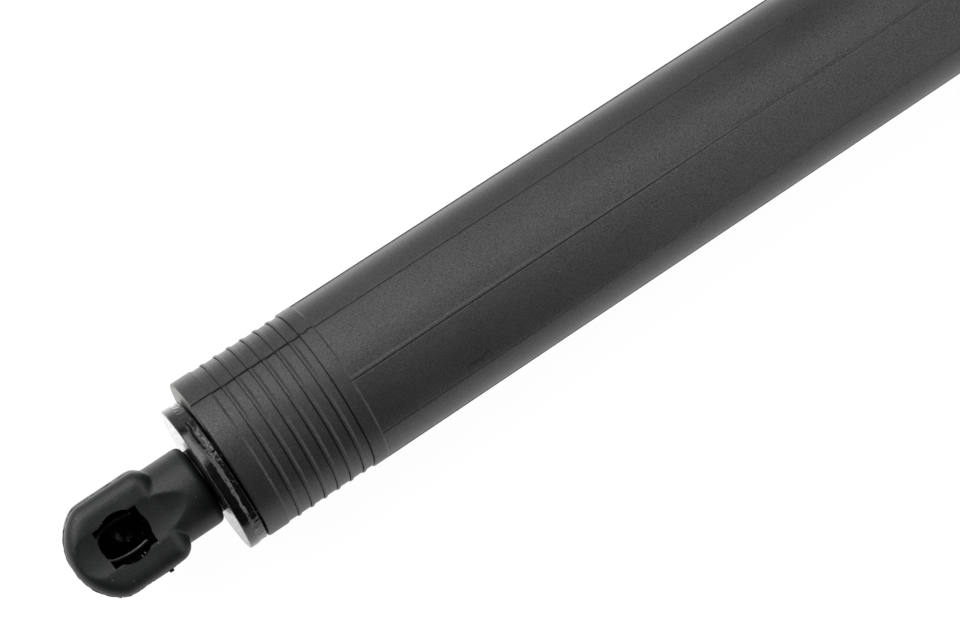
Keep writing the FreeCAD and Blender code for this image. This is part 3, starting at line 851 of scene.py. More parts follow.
@dataclass
class CoverTube:
    """Moulded cover with its ridged grip, mould lines and slightly flattened panels.

    The grip's ridges, the ring line and the places along the seam are measured from the cover's
    end at the ball socket. Each ridge rises from a narrow slot, and guard rows beside the slots keep
    their edges crisp. The seam wanders on the grip, where it is cut through ridges and grooves, and
    the points beside each line are drawn together so that it stays fine. The seam's widths and
    depths and the steps beside the lines are in millimetres. Its reach, jog and kink are in degrees.
    """

    shop: Paintshop
    radius: float = 18.97 * MM
    collar: float = 4.8 * MM
    grip_sink: float = 0.135 * MM
    ridge_count: int = 6
    ridge_first: float = 7.36 * MM
    ridge_pitch: float = 3.25 * MM
    ridge_rise: float = 0.08 * MM
    ridge_top: float = 0.42 * MM
    ridge_fall: float = 0.45 * MM
    slot: float = 0.24 * MM
    slot_depth: float = 0.3 * MM
    guard: float = 0.1 * MM
    groove_depth: float = 0.26 * MM
    grip_end: float = 26.35 * MM
    edge: float = 0.4 * MM
    mouth_edge: float = 0.6 * MM
    soft: float = 0.1 * MM
    ring_line: float = 29.5 * MM
    ring_width: float = 0.36 * MM
    collar_rows: int = 8
    tube_rows: int = 26
    mouth_run: float = 3 * MM
    lip_bore: float = 13.2 * MM
    lip: float = 2.7 * MM
    end_depth: float = 0.5 * MM
    wall: float = 2.0 * MM
    bush_seat: float = 17.5 * MM
    bush_length: float = 8.0 * MM
    seam_reach: float = 6.0
    seam_gather: float = 0.35
    seam_in_groove: tuple[float, float] = (0.26, 0.5)
    seam_on_ridge: tuple[float, float] = (0.15, 0.35)
    seam_flank: float = 0.1
    blot_place: float = 27.9 * MM
    blot_reach: float = 0.5 * MM
    blot_width: float = 0.25
    jog: float = 0.9
    jog_run: float = 0.12
    jog_wave: float = 0.35
    jog_rate: float = 2.1
    kink: float = 1.4
    kink_place: float = 28.6 * MM
    kink_reach: float = 0.6 * MM
    wear: tuple[float, float] = (60 * MM, 140 * MM)
    sharp_step: tuple[float, float] = (-0.06, 0.06)
    soft_step: tuple[float, float] = (-0.1, 0.3)
    over: float = 0.02 * MM
    panel_lines: tuple[MouldLine, ...] = (
        MouldLine(-176.0, groove=0.06), MouldLine(-129.0, crest=0.06, groove=0.05),
        MouldLine(-86.0, drop=0.2), MouldLine(-44.6, groove=0.45, drop=0.1, seam=True),
        MouldLine(0.1, crest=0.2, groove=0.2, drop=0.15),
        MouldLine(42.6, groove=0.38, drop=0.18),
        MouldLine(85.0), MouldLine(132.0, groove=0.06),
    )
    panel_kink: float = 4.0
    sharp: float = 40.0
    corner_segments: int = 2
    steps: int = 640

    def __post_init__(self) -> None:
        """Reads where the cover lies from the frame."""
        joint = next(j for j in frame["joints"] if j["name"] == "cover_turn")
        self.pivot = Vector(joint["pos_m"])
        self.tilt = math.atan2(-joint["axis"][1], joint["axis"][0])
        bush_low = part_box("mouth_bush")[0].x
        self.end = self.pivot.x + self.bush_length / 2
        self.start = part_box("cover_sleeve")[0].x + self.radius * math.sin(self.tilt)
        self.bush = max(bush_low, self.end - self.bush_length)

    def outline(self) -> list[Corner]:
        """Draws half the cover's section, over the grip to the mouth and back inside.

        Returns:
            The corners as (x, r), with a radius where one is rounded.
        """
        high = self.radius - self.grip_sink
        low = high - self.groove_depth
        top = self.start + self.collar
        corners: list[Corner] = [(self.start, self.lip_bore, self.soft), (self.start, high, self.edge)]
        rises = [self.ridge_first + i * self.ridge_pitch for i in range(self.ridge_count)]
        for rise in rises + [self.grip_end]:
            x = self.start + rise
            foot = top + self.ridge_fall
            wall = x - self.slot
            corners += [(top - self.guard, high), (top, high), (foot, low), (foot + self.guard, low)]
            corners += [(wall - self.guard, low), (wall, low), (wall, low - self.slot_depth)]
            corners += [(x, low - self.slot_depth), (x, high - self.ridge_rise)]
            top = x + self.ridge_rise + self.ridge_top
            if rise < self.grip_end:
                corners.append((x + self.ridge_rise, high))
        corners.append((x + self.ridge_rise, self.radius))
        line = self.start + self.ring_line
        past = line + self.ring_width
        lead = 4 * self.ridge_rise
        reach = line - self.guard - x - lead
        rows = self.collar_rows
        corners += [(x + lead + reach * k / rows, self.radius) for k in range(rows + 1)]
        corners += [(line, self.radius), (past, self.radius), (past + self.guard, self.radius)]
        run = self.end - self.mouth_run - past - MM
        rows = self.tube_rows
        corners += [(past + MM + run * k / rows, self.radius) for k in range(rows + 1)]
        corners += [
            (self.end, self.radius, self.mouth_edge), (self.end, self.bush_seat),
            (self.bush, self.bush_seat), (self.bush, self.radius - self.wall),
            (self.start + self.lip, self.radius - self.wall), (self.start + self.lip, self.lip_bore),
        ]
        return corners

    def panel_sag(self, angle: float) -> float:
        """Gives how far a flattened panel lies inside the full circle.

        Args:
            angle: Degrees round the strut.

        Returns:
            The depth in metres.
        """
        angles = [line.angle for line in self.panel_lines]
        for i, (low, high) in enumerate(zip(angles, angles[1:] + [angles[0] + 360])):
            offset = angle_gap(angle, (low + high) / 2)
            half = (high - low) / 2
            if abs(offset) <= half:
                break
        chord = self.radius * math.sin(math.radians(half))
        lean = math.radians(half - self.panel_kink / 2)
        flat = chord / math.sin(lean)
        back = flat * math.cos(lean) - self.radius * math.cos(math.radians(half))
        delta = math.radians(offset)
        reach = math.sqrt(flat ** 2 - (back * math.sin(delta)) ** 2)
        return self.radius + back * math.cos(delta) - reach

    def seam_jog(self, x: float) -> float:
        """Gives where the main seam wanders to on the grip.

        Args:
            x: The place along the strut.

        Returns:
            Degrees off the seam's straight line.
        """
        if x > self.start + self.ring_line + self.ring_width:
            return 0.0
        bay = (x - self.start - self.ridge_first) / self.ridge_pitch
        step = math.floor(bay) + ramp(bay % 1, 0.0, self.jog_run)
        kink = self.kink * max(0.0, 1 - abs(x - self.start - self.kink_place) / self.kink_reach)
        slant = self.jog * (0.5 - bay % 1) * (bay > 0)
        return slant + self.jog_wave * math.sin(self.jog_rate * step) - kink

    def nearest_line(self, angle: float) -> tuple[MouldLine, MouldLine, float]:
        """Finds the mould line nearest to an angle.

        Args:
            angle: Degrees round the strut.

        Returns:
            The line, the line before it, and how many degrees past it the angle is.
        """
        order = range(len(self.panel_lines))
        i = min(order, key=lambda k: abs(angle_gap(angle, self.panel_lines[k].angle)))
        return self.panel_lines[i], self.panel_lines[i - 1], angle_gap(angle, self.panel_lines[i].angle)

    def add_relief(self, piece: bpy.types.Object) -> None:
        """Draws the outer points together at the mould lines and gives them panels, lines and seam.

        Args:
            piece: The turned cover, not yet tilted.
        """
        line_end = self.start + self.ring_line + self.ring_width
        high = self.radius - self.grip_sink
        for point in piece.data.vertices:
            x, y, z = point.co
            r = math.hypot(y, z)
            inside = r < high - self.groove_depth - self.slot_depth - self.edge
            if inside or x > self.end - TOUCH:
                continue
            angle = round_angle(y, z)
            line, before, past = self.nearest_line(angle)
            drawn_in = past
            if abs(past) < self.seam_reach / 2:
                apart = (1 - self.seam_gather) * abs(past) / (self.seam_reach / 2)
                drawn_in = past * (self.seam_gather + apart)
            away = math.radians(drawn_in) * self.radius / MM
            angle = line.angle + drawn_in
            if line.seam:
                angle += self.seam_jog(x) * max(0.0, 1 - abs(past) / self.seam_reach)
            worn = ramp(x, self.start + self.wear[0], self.start + self.wear[1])
            new = r
            if x > self.start + self.ring_line + FINE_TOUCH:
                fade = ramp(x, line_end - self.ring_width, line_end)
                fade *= 1 - ramp(x, self.end - self.mouth_run, self.end - self.mouth_edge)
                step = ramp(away, *(self.soft_step if line.crest else self.sharp_step))
                drop = before.drop + (line.drop - before.drop) * step
                relief = (line.height(away, worn) - drop) * MM - self.panel_sag(angle)
                new = min(r + fade * relief, self.radius + self.over)
            elif line.seam:
                in_groove = r < high - self.groove_depth / 2
                width, depth = self.seam_in_groove if in_groove else self.seam_on_ridge
                blot = max(0.0, 1 - abs(x - self.start - self.blot_place) / self.blot_reach)
                width += self.blot_width * blot
                cut = min(1.0, max(0.0, (width - abs(away)) / self.seam_flank))
                new = r - depth * MM * cut
            turn = math.radians(angle)
            point.co = (x, -new * math.sin(turn), new * math.cos(turn))

    def build(self) -> list[bpy.types.Object]:
        """Models, tilts and dresses the cover.

        Returns:
            The cover alone, in a list.
        """
        piece = turned_piece(
            "cover_tube_moulded", self.outline(), self.steps, self.corner_segments,
        )
        self.add_relief(piece)
        even_shading(piece, self.sharp)
        about = Matrix.Translation(self.pivot)
        piece.data.transform(about @ Matrix.Rotation(-self.tilt, 4, "Z") @ about.inverted())
        self.shop.dress(piece, COVER_PLASTIC, PALE_LIT_PLASTIC)
        # The upper half of the cover's end face gets the paler plastic as painted light.
        for face in piece.data.polygons:
            end_face = face.normal.x < -0.99 and face.center.x < self.start + self.end_depth
            face.material_index = int(end_face and face.center.y > self.radius / 2)
        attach(piece, "cover")
        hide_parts("cover_sleeve")
        return [piece]


@dataclass
class EndPlate:
    """Welded end plate: a turned disc with a weld run down behind it, all painted thick.

    The disc's rows of points let the weld fall away behind it by the sink, along the slope, from an
    edge that wanders. Lumps of the weld and the paint lie on top.
    """

    shop: Paintshop
    radius: float = 17.05 * MM
    thickness: float = 4.3 * MM
    disc: float = 1.65 * MM
    slope: float = 1.1 * MM
    sink: float = 0.25 * MM
    edge: float = 0.45 * MM
    hub_radius: float = 11.0 * MM
    bore: float = 4.2 * MM
    row: float = 0.13 * MM
    lump: float = 0.085 * MM
    lump_size: float = 1.1 * MM
    wander: float = 0.3 * MM
    wander_size: float = 4.5 * MM
    wander_stretch: float = 0.3
    lump_stretch: float = 0.7
    hub_foot: float = 2 * MM
    rear_edge: float = 0.15 * MM
    rear_step: float = 0.1 * MM
    skin: float = 0.01 * MM
    face_depth: float = 0.2 * MM
    sharp: float = 40.0
    corner_segments: int = 5
    steps: int = 600

    def outline(self) -> list[Corner]:
        """Draws half the section of the disc, the weld and the hub.

        Returns:
            The corners as (x, r), with a radius where one is rounded.
        """
        low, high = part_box("end_flange")
        rear = low.x + self.thickness
        first = low.x + self.disc
        corners: list[Corner] = [(low.x, self.bore), (low.x, self.radius, self.edge)]
        rows = round((rear - first) / self.row)
        for k in range(rows):
            corners.append((first + (rear - first) * k / rows, self.radius - self.skin))
        corners += [
            (rear, self.radius - self.sink - self.rear_step), (rear, self.hub_radius),
            (high.x, self.hub_radius), (high.x, self.bore),
        ]
        return corners

    def add_weld(self, piece: bpy.types.Object) -> None:
        """Lets the weld fall away behind the disc, with lumps and a wandering edge.

        Args:
            piece: The turned plate.
        """
        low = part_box("end_flange")[0]
        first = low.x + self.disc
        rear = low.x + self.thickness
        for point in piece.data.vertices:
            x, y, z = point.co
            r = math.hypot(y, z)
            if r < self.hub_radius + self.hub_foot or x < first - TOUCH:
                continue
            coarse = noise.noise(Vector((self.wander_stretch * x, y, z)) / self.wander_size)
            start = first + self.wander * (coarse + 0.5)
            fall = self.sink * ramp(x, start, start + self.slope)
            fine = Vector((self.lump_stretch * x, y, z)) / self.lump_size
            lumps = noise.fractal(fine, 0.9, 2.0, 3)
            rough = self.lump * lumps * ramp(x, start, start + 0.5 * self.slope)
            edge = self.rear_edge * ramp(x, rear - 2 * self.rear_edge, rear)
            new = min(r - fall + rough - edge, self.radius - self.skin)
            point.co = (x, y * new / r, z * new / r)

    def build(self) -> list[bpy.types.Object]:
        """Models and dresses the end plate.

        Returns:
            The end plate alone, in a list.
        """
        piece = turned_piece("end_plate_welded", self.outline(), self.steps, self.corner_segments)
        self.add_weld(piece)
        even_shading(piece, self.sharp)
        self.shop.dress(piece, FLANGE_PAINT, FLANGE_FACE)
        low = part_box("end_flange")[0].x
        for face in piece.data.polygons:
            in_front = face.normal.x < -0.7 and face.center.x < low + self.face_depth
            face.material_index = int(in_front)
        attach(piece, "rod")
        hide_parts("end_flange")
        return [piece]


@dataclass
class BallSocket:
    """Moulded ball socket: soft head, scooped neck, crisp mouth, and the marks of its mould.

    The seat's centre is the origin and the neck points along +X. The mouth opens towards +Z. Head,
    neck and channel are melted into one skin, and the mouth is cut after that, so that it stays
    crisp. The low side is how much the head is wider towards -Y, where the photo shows its gate.
    """

    shop: Paintshop
    half_width: float = 10.45 * MM
    tip: float = 12.2 * MM
    tip_radius: float = 11.5 * MM
    cheek_radius: float = 5.0 * MM
    shoulder: float = 10.8 * MM
    shoulder_radius: float = 3.6 * MM
    half_height: float = 8.4 * MM
    edge: float = 3.4 * MM
    neck: float = 9.15 * MM
    neck_end: float = 19.4 * MM
    neck_edge: float = 1.5 * MM
    channel: float = 0.65 * MM
    scoop_start: float = 9.5 * MM
    scoop_end: float = 14.9 * MM
    scoop_radius: float = 17.0 * MM
    seat: float = 5.05 * MM
    mouth: float = 5.55 * MM
    mouth_length: float = 10.2 * MM
    mouth_width: float = 8.8 * MM
    floor: float = 3.45 * MM
    groove_back: float = 7.5 * MM
    groove_front: float = 5.6 * MM
    groove_width: float = 10.6 * MM
    groove_height: float = 1.7 * MM
    thread: float = 4.0 * MM
    thread_start: float = 7.45 * MM
    low_side: float = 0.42 * MM
    nub: float = 1.2 * MM
    nub_along: float = 4.2 * MM
    nub_stretch: tuple[float, float, float] = (0.9, 1.3, 0.8)
    flash: float = 0.14 * MM
    flash_height: float = 3.4 * MM
    flash_thickness: float = 0.3 * MM
    flash_step: float = 0.4 * MM
    torn_size: float = 1.1 * MM
    torn_share: float = 0.9
    low_side_flash: float = 0.8
    low_side_run: tuple[float, float] = (2 * MM, 6 * MM)
    overlap: float = 0.02 * MM
    slack: float = 0.05 * MM
    voxel: float = 0.24 * MM
    voxel_quick: float = 0.4 * MM
    softening: int = 14
    tip_chords: int = 32
    cheek_chords: int = 8
    rim_segments: int = 8
    neck_steps: int = 128
    neck_segments: int = 6
    seat_steps: int = 96
    seat_chords: int = 24
    channel_steps: int = 256
    thread_steps: int = 64
    sharp: float = 35.0

    def plan(self) -> list[Vector]:
        """Draws the head as seen from above: a half round tip drawn out to rounded shoulders.

        Returns:
            The closed outline's points at the height of the seat's centre.
        """
        centre = self.tip_radius - self.tip
        cheek_y = self.half_width - self.cheek_radius
        cheek_x = -math.sqrt((self.tip_radius - self.cheek_radius) ** 2 - cheek_y ** 2)
        meet = math.atan2(cheek_y, -cheek_x)
        plan: list[Corner] = [
            (self.shoulder, self.half_width, self.shoulder_radius),
            (self.shoulder, -self.half_width, self.shoulder_radius),
        ]
        arcs = (
            (centre + cheek_x, -cheek_y, self.cheek_radius, -math.pi / 2, -meet, self.cheek_chords),
            (centre, 0, self.tip_radius, -meet, meet, self.tip_chords),
            (centre + cheek_x, cheek_y, self.cheek_radius, meet, math.pi / 2, self.cheek_chords),
        )
        for x, y, radius, first, last, chords in arcs:
            for k in range(chords + 1):
                turn = first + (last - first) * k / chords
                plan.append((x - radius * math.cos(turn), y + radius * math.sin(turn)))
        points = rounded(plan, self.cheek_chords)
        return [Vector((x, y - self.low_side * ramp(-y, 0, self.half_width), 0)) for x, y in points]

    def head(self) -> bpy.types.Object:
        """Raises the head block over its plan and rolls its rims.

        Returns:
            The block.
        """
        down = Vector((0, 0, -self.half_height))
        piece = drawn("head", [point + down for point in self.plan()])
        bpy.ops.object.mode_set(mode="EDIT")
        bpy.ops.mesh.select_all(action="SELECT")
        bpy.ops.mesh.edge_face_add()
        bpy.ops.mesh.extrude_region_move(
            TRANSFORM_OT_translate={"value": (0, 0, 2 * self.half_height)},
        )
        bpy.ops.mesh.select_all(action="SELECT")
        bpy.ops.mesh.normals_make_consistent(inside=False)
        bpy.ops.mesh.select_all(action="DESELECT")
        bpy.ops.mesh.select_mode(type="EDGE")
        bpy.ops.object.mode_set(mode="OBJECT")
        points = piece.data.vertices
        for edge in piece.data.edges:
            low, high = sorted(points[i].co.z for i in edge.vertices)
            edge.select = high - low < self.half_height
        bpy.ops.object.mode_set(mode="EDIT")
        bpy.ops.mesh.bevel(offset=self.edge, segments=self.rim_segments, affect="EDGES")
        bpy.ops.mesh.select_mode(type="VERT")
        bpy.ops.object.mode_set(mode="OBJECT")
        return piece

    def stem(self) -> bpy.types.Object:
        """Turns the round neck and flattens it where it runs on from the head's faces.

        Returns:
            The neck.
        """
        corners = [
            (0, CORE), (0, self.neck), (self.neck_end, self.neck, self.neck_edge),
            (self.neck_end, CORE),
        ]
        piece = turned_piece("stem", corners, self.neck_steps, self.neck_segments)
        for side in (1, -1):
            bpy.ops.object.select_all(action="DESELECT")
            bpy.ops.mesh.primitive_cube_add(
                size=1, location=(0, 0, side * (self.half_height + self.neck)),
                scale=(2 * self.scoop_start, 4 * self.neck, 2 * self.neck),
            )
            combine(piece, [bpy.context.object], Combine.CUT)
        return piece

    def channel_tools(self) -> list[bpy.types.Object]:
        """Makes the tools for the shallow round channel along both faces and up to the full neck.

        Returns:
            Two long cylinders for each face.
        """
        tools = []
        bottom = self.half_height - self.channel
        run = self.scoop_end - self.scoop_start
        lean = math.atan2(self.neck - bottom, run)
        for side in (1, -1):
            start = Vector((self.scoop_start, 0, side * bottom))
            for along, length in (
                (Vector((-1, 0, 0)), 2 * self.tip + self.scoop_start),
                (Vector((math.cos(lean), 0, side * math.sin(lean))), 3 * run),
            ):
                outward = Vector((-along.z, 0, along.x))
                outward *= side * math.copysign(1, along.x)
                bpy.ops.object.select_all(action="DESELECT")
                bpy.ops.mesh.primitive_cylinder_add(
                    vertices=self.channel_steps, radius=self.scoop_radius, depth=length,
                    location=start + outward * self.scoop_radius + along * (length / 2),
                    rotation=along.to_track_quat("Z", "Y").to_euler(),
                )
                tools.append(bpy.context.object)
        return tools

    def mouth_tools(self) -> list[bpy.types.Object]:
        """Makes the tools for the seat with its round mouth, the square mouth and the clip's groove.

        Returns:
            The cup first, then the two blocks.
        """
        top = self.half_height + MM
        corners: list[Corner] = []
        for k in range(self.seat_chords + 1):
            turn = math.pi / 2 * k / self.seat_chords
            corners.append((-self.seat * math.cos(turn), max(self.seat * math.sin(turn), CORE)))
        corners += [
            (self.floor, self.seat), (self.floor, self.mouth), (top, self.mouth), (top, CORE),
        ]
        cup = turned_piece("cup", corners, self.seat_steps)
        cup.data.transform(Matrix.Rotation(-math.pi / 2, 4, "Y"))
        tools = [cup]
        rise = top + self.overlap - self.floor
        middle = (self.groove_front - self.groove_back) / 2
        for size, centre in (
            (
                (self.mouth_length, self.mouth_width, rise),
                (0, 0, self.floor + self.overlap + rise / 2),
            ),
            (
                (self.groove_back + self.groove_front, self.groove_width, self.groove_height),
                (middle, 0, self.floor - self.overlap + self.groove_height / 2),
            ),
        ):
            bpy.ops.object.select_all(action="DESELECT")
            bpy.ops.mesh.primitive_cube_add(size=1, location=centre, scale=size)
            tools.append(bpy.context.object)
        return tools

    def thread_tool(self) -> bpy.types.Object:
        """Makes the tool for the thread's bore in the neck.

        Returns:
            The cylinder.
        """
        bpy.ops.object.select_all(action="DESELECT")
        bpy.ops.mesh.primitive_cylinder_add(
            vertices=self.thread_steps, radius=self.thread, depth=self.neck_end,
            location=(self.thread_start + self.neck_end / 2, 0, 0), rotation=(0, math.pi / 2, 0),
        )
        return bpy.context.object

    def gate_nub(self) -> bpy.types.Object:
        """Makes the torn off gate on the head's side.

        Returns:
            A small uneven stub.
        """
        bpy.ops.object.select_all(action="DESELECT")
        bpy.ops.mesh.primitive_cube_add(
            size=self.nub, scale=self.nub_stretch,
            location=(self.nub_along, -self.half_width - self.low_side, self.flash_height),
        )
        nub = bpy.context.object
        settle(nub)
        bpy.ops.object.mode_set(mode="EDIT")
        bpy.ops.mesh.select_all(action="SELECT")
        bpy.ops.mesh.subdivide(number_cuts=4, fractal=0.25, seed=5)
        bpy.ops.mesh.vertices_smooth(factor=0.5, repeat=2)
        bpy.ops.object.mode_set(mode="OBJECT")
        return nub

    def flash_fin(self) -> bpy.types.Object:
        """Makes the thin torn fin where the mould's halves met round the head.

        Returns:
            A plate that stands out of the head by the flash's height all round.
        """
        loop = self.plan()
        points = []
        for here, following in zip(loop, loop[1:] + loop[:1]):
            run = following - here
            outward = Vector((-run.y, run.x, 0)).normalized()
            count = max(1, round(run.length / self.flash_step))
            for k in range(count):
                place = here + run * k / count
                torn = noise.fractal(place / self.torn_size, 1.0, 2.0, 3)
                lower = self.low_side_flash * ramp(-place.y, *self.low_side_run)
                height = self.flash * (1 + self.torn_share * torn + lower)
                height *= 1 - ramp(place.x, self.shoulder - 2 * self.shoulder_radius, self.shoulder)
                place += outward * height
                points.append(Vector((max(place.x, -self.tip), place.y, self.flash_height)))
        fin = drawn("flash", points)
        bpy.ops.object.mode_set(mode="EDIT")
        bpy.ops.mesh.select_all(action="SELECT")
        bpy.ops.mesh.edge_face_add()
        bpy.ops.mesh.extrude_region_move(
            TRANSFORM_OT_translate={"value": (0, 0, self.flash_thickness)},
        )
        bpy.ops.object.mode_set(mode="OBJECT")
        tidy_faces(fin)
        return fin

    def grease_and_shade(self, piece: bpy.types.Object) -> None:
        """Gives the inside of the mouth the greased nylon, darkened as painted shade and with painted
        glints.

        Args:
            piece: The socket at the rod end's place.
        """
        self.shop.dress(piece, SOCKET_NYLON, GREASE_AND_SHADE_NYLON)
        for face in piece.data.polygons:
            wall = abs(face.normal.z) < 0.5
            below = face.center.z < self.half_height - self.channel - MM
            face.material_index = int((wall or below) and self.cavity(face.center))

    def cavity(self, place: Vector) -> bool:
        """Tells whether a point lies on the walls of the mouth, the groove or the seat.

        Args:
            place: The point, in the frame of the rod end's seat.

        Returns:
            Whether it does.
        """
        x, y, z = place
        slack = self.slack
        if z > self.floor - slack:
            half_length, half_width = self.mouth_length / 2, self.mouth_width / 2
            in_square = abs(x) < half_length + slack and abs(y) < half_width + slack
            in_round = math.hypot(x, y) < self.mouth + slack
            along = -self.groove_back - slack < x < self.groove_front + slack
            in_groove = along and abs(y) < self.groove_width / 2 + slack
            return in_square or in_round or (in_groove and z < self.floor + self.groove_height + slack)
        if z > 0:
            return math.hypot(x, y) < self.seat + slack
        return place.length < self.seat + slack

    def fuse(self, piece: bpy.types.Object) -> None:
        """Melts the block into one skin with softly filled inner corners.

        Args:
            piece: The head with its neck and channels.
        """
        fuse = piece.modifiers.new("fuse", "REMESH")
        fuse.mode = "VOXEL"
        fuse.voxel_size = self.voxel
        soften = piece.modifiers.new("soften", "SMOOTH")
        soften.factor = 0.5
        soften.iterations = self.softening
        apply_all(piece)

    def model(self) -> bpy.types.Object:
        """Models the socket at the rod end's place.

        Returns:
            The bare socket.
        """
        solid = combine(self.head(), [self.stem()], Combine.ADD)
        combine(solid, self.channel_tools(), Combine.CUT)
        self.fuse(solid)
        combine(solid, [self.flash_fin(), self.gate_nub()], Combine.ADD)
        cup, *blocks = self.mouth_tools()
        mouth = combine(cup, blocks, Combine.ADD)
        combine(solid, [mouth, self.thread_tool()], Combine.CUT)
        tidy_faces(solid)
        return solid

    def build(self) -> list[bpy.types.Object]:
        """Models the socket once, copies it for the far end and dresses both.

        Returns:
            The two sockets.
        """
        near = rename(self.model(), "rod_socket_moulded")
        self.grease_and_shade(near)
        far = near.copy()
        far.data = near.data.copy()
        bpy.context.scene.collection.objects.link(far)
        rename(far, "far_socket_moulded")
        mounts = {mount["name"]: mount for mount in frame["record"]["mounts"]}
        seat = mounts["cylinder_ball_seat"]["pos_m"]
        far.data.transform(Matrix.Translation(seat) @ Matrix.Rotation(math.pi, 4, "Z"))
        for piece, body, node in (
            (near, "rod", "rod_ball_socket"), (far, "cylinder", "far_ball_socket"),
        ):
            even_shading(piece, self.sharp)
            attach(piece, body)
            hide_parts(node)
        return [near, far]


@dataclass
class HelperSpring:
    """Coil spring round the gas tube, which closes as the rod slides in.

    The closed length, which would leave a little room at both ends so that the squashed wire stays
    clear of its seats, is not used.
    """

    shop: Paintshop
    closed_length: float = 75.8 * MM
    merge: float = 0.002 * MM
    sharp: float = 50.0

    def build(self) -> list[bpy.types.Object]:
        """Copies the wound wire from the frame as a piece of its own.

        Returns:
            The spring alone, in a list.
        """
        select_only(frame["nodes"]["helper_spring"])
        bpy.ops.object.duplicate()
        piece = rename(bpy.context.object, "helper_spring_wound")
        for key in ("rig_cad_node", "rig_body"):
            del piece[key]
        tidy_faces(piece, self.merge)
        select_only(piece)
        bpy.ops.object.shade_smooth_by_angle(angle=math.radians(self.sharp))
        self.shop.dress(piece, SPRING_PAINT)
        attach(piece, "spring")
        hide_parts("helper_spring")
        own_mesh(piece)
        return [piece]


@dataclass
class CarriedNodes:
    """Pieces whose shape comes from the frame and that only get their finish and smooth shading."""

    shop: Paintshop

    def build(self) -> list[bpy.types.Object]:
        """Dresses every carried-over node.

        Returns:
            The dressed nodes.
        """
        finishes = {
            CLIP_STEEL: ("rod_socket_clip", "far_socket_clip"),
            # The lock washers get black zinc as painted shade.
            BLACK_ZINC_SHADE: ("rod_lock_washer", "far_lock_washer"),
            ZINC_STEEL: ("spring_plate", "piston_washer", "damping_disc", "rivet_washer", "tube_plug"),
            BUSH_PLASTIC: ("mouth_bush", "seat_collar"),
            FELT: ("dust_wiper",),
            LINER_PLASTIC: ("slip_washer", "piston_ring", "seal_backup_ring", "rattle_liner"),
            SEAL_RUBBER: ("bump_stop", "guide_sealing_ring", "rod_seal"),
            ROD_CHROME: ("piston_rod",),
            PISTON_ALLOY: ("piston",),
            TUBE_PAINT: ("pressure_tube", "inner_tube"),
            GUIDE_BRASS: ("rod_guide",),
            FLANGE_PAINT: ("rear_flange",),
        }
        dressed = []
        for finish, nodes in finishes.items():
            for node in nodes:
                self.shop.dress_node(node, finish)
                dressed.append(frame["nodes"][node])
        return dressed


@dataclass(frozen=True)
class SoftBox:
    """One soft box, which hangs on a sphere round the end of the strut that the camera sees.

    The lean is its angle from straight above towards +Y, and the slide its angle towards +X, both
    in degrees. Its length lies in the plane of the lean. Length, width and distance are in metres.
    """

    name: str
    lean: float
    slide: float
    length: float
    width: float
    watts: float
    distance: float = 0.9

    def hang(self, aim: Vector) -> None:
        """Creates the lamp.

        Args:
            aim: What it looks at.
        """
        lean, slide = math.radians(self.lean), math.radians(self.slide)
        away = Vector((
            math.sin(slide), math.cos(slide) * math.sin(lean), math.cos(slide) * math.cos(lean),
        ))
        side = Vector((0, math.cos(lean), -math.sin(lean)))
        data = bpy.data.lights.new(self.name, "AREA")
        data.shape = "RECTANGLE"
        data.size, data.size_y = self.length, self.width
        data.energy = self.watts
        lamp = bpy.data.objects.new(self.name, data)
        bpy.context.scene.collection.objects.link(lamp)
        turn = Matrix((side, away.cross(side), away)).transposed().to_4x4()
        lamp.matrix_world = Matrix.Translation(aim + away * self.distance) @ turn
        lamp.visible_camera = False


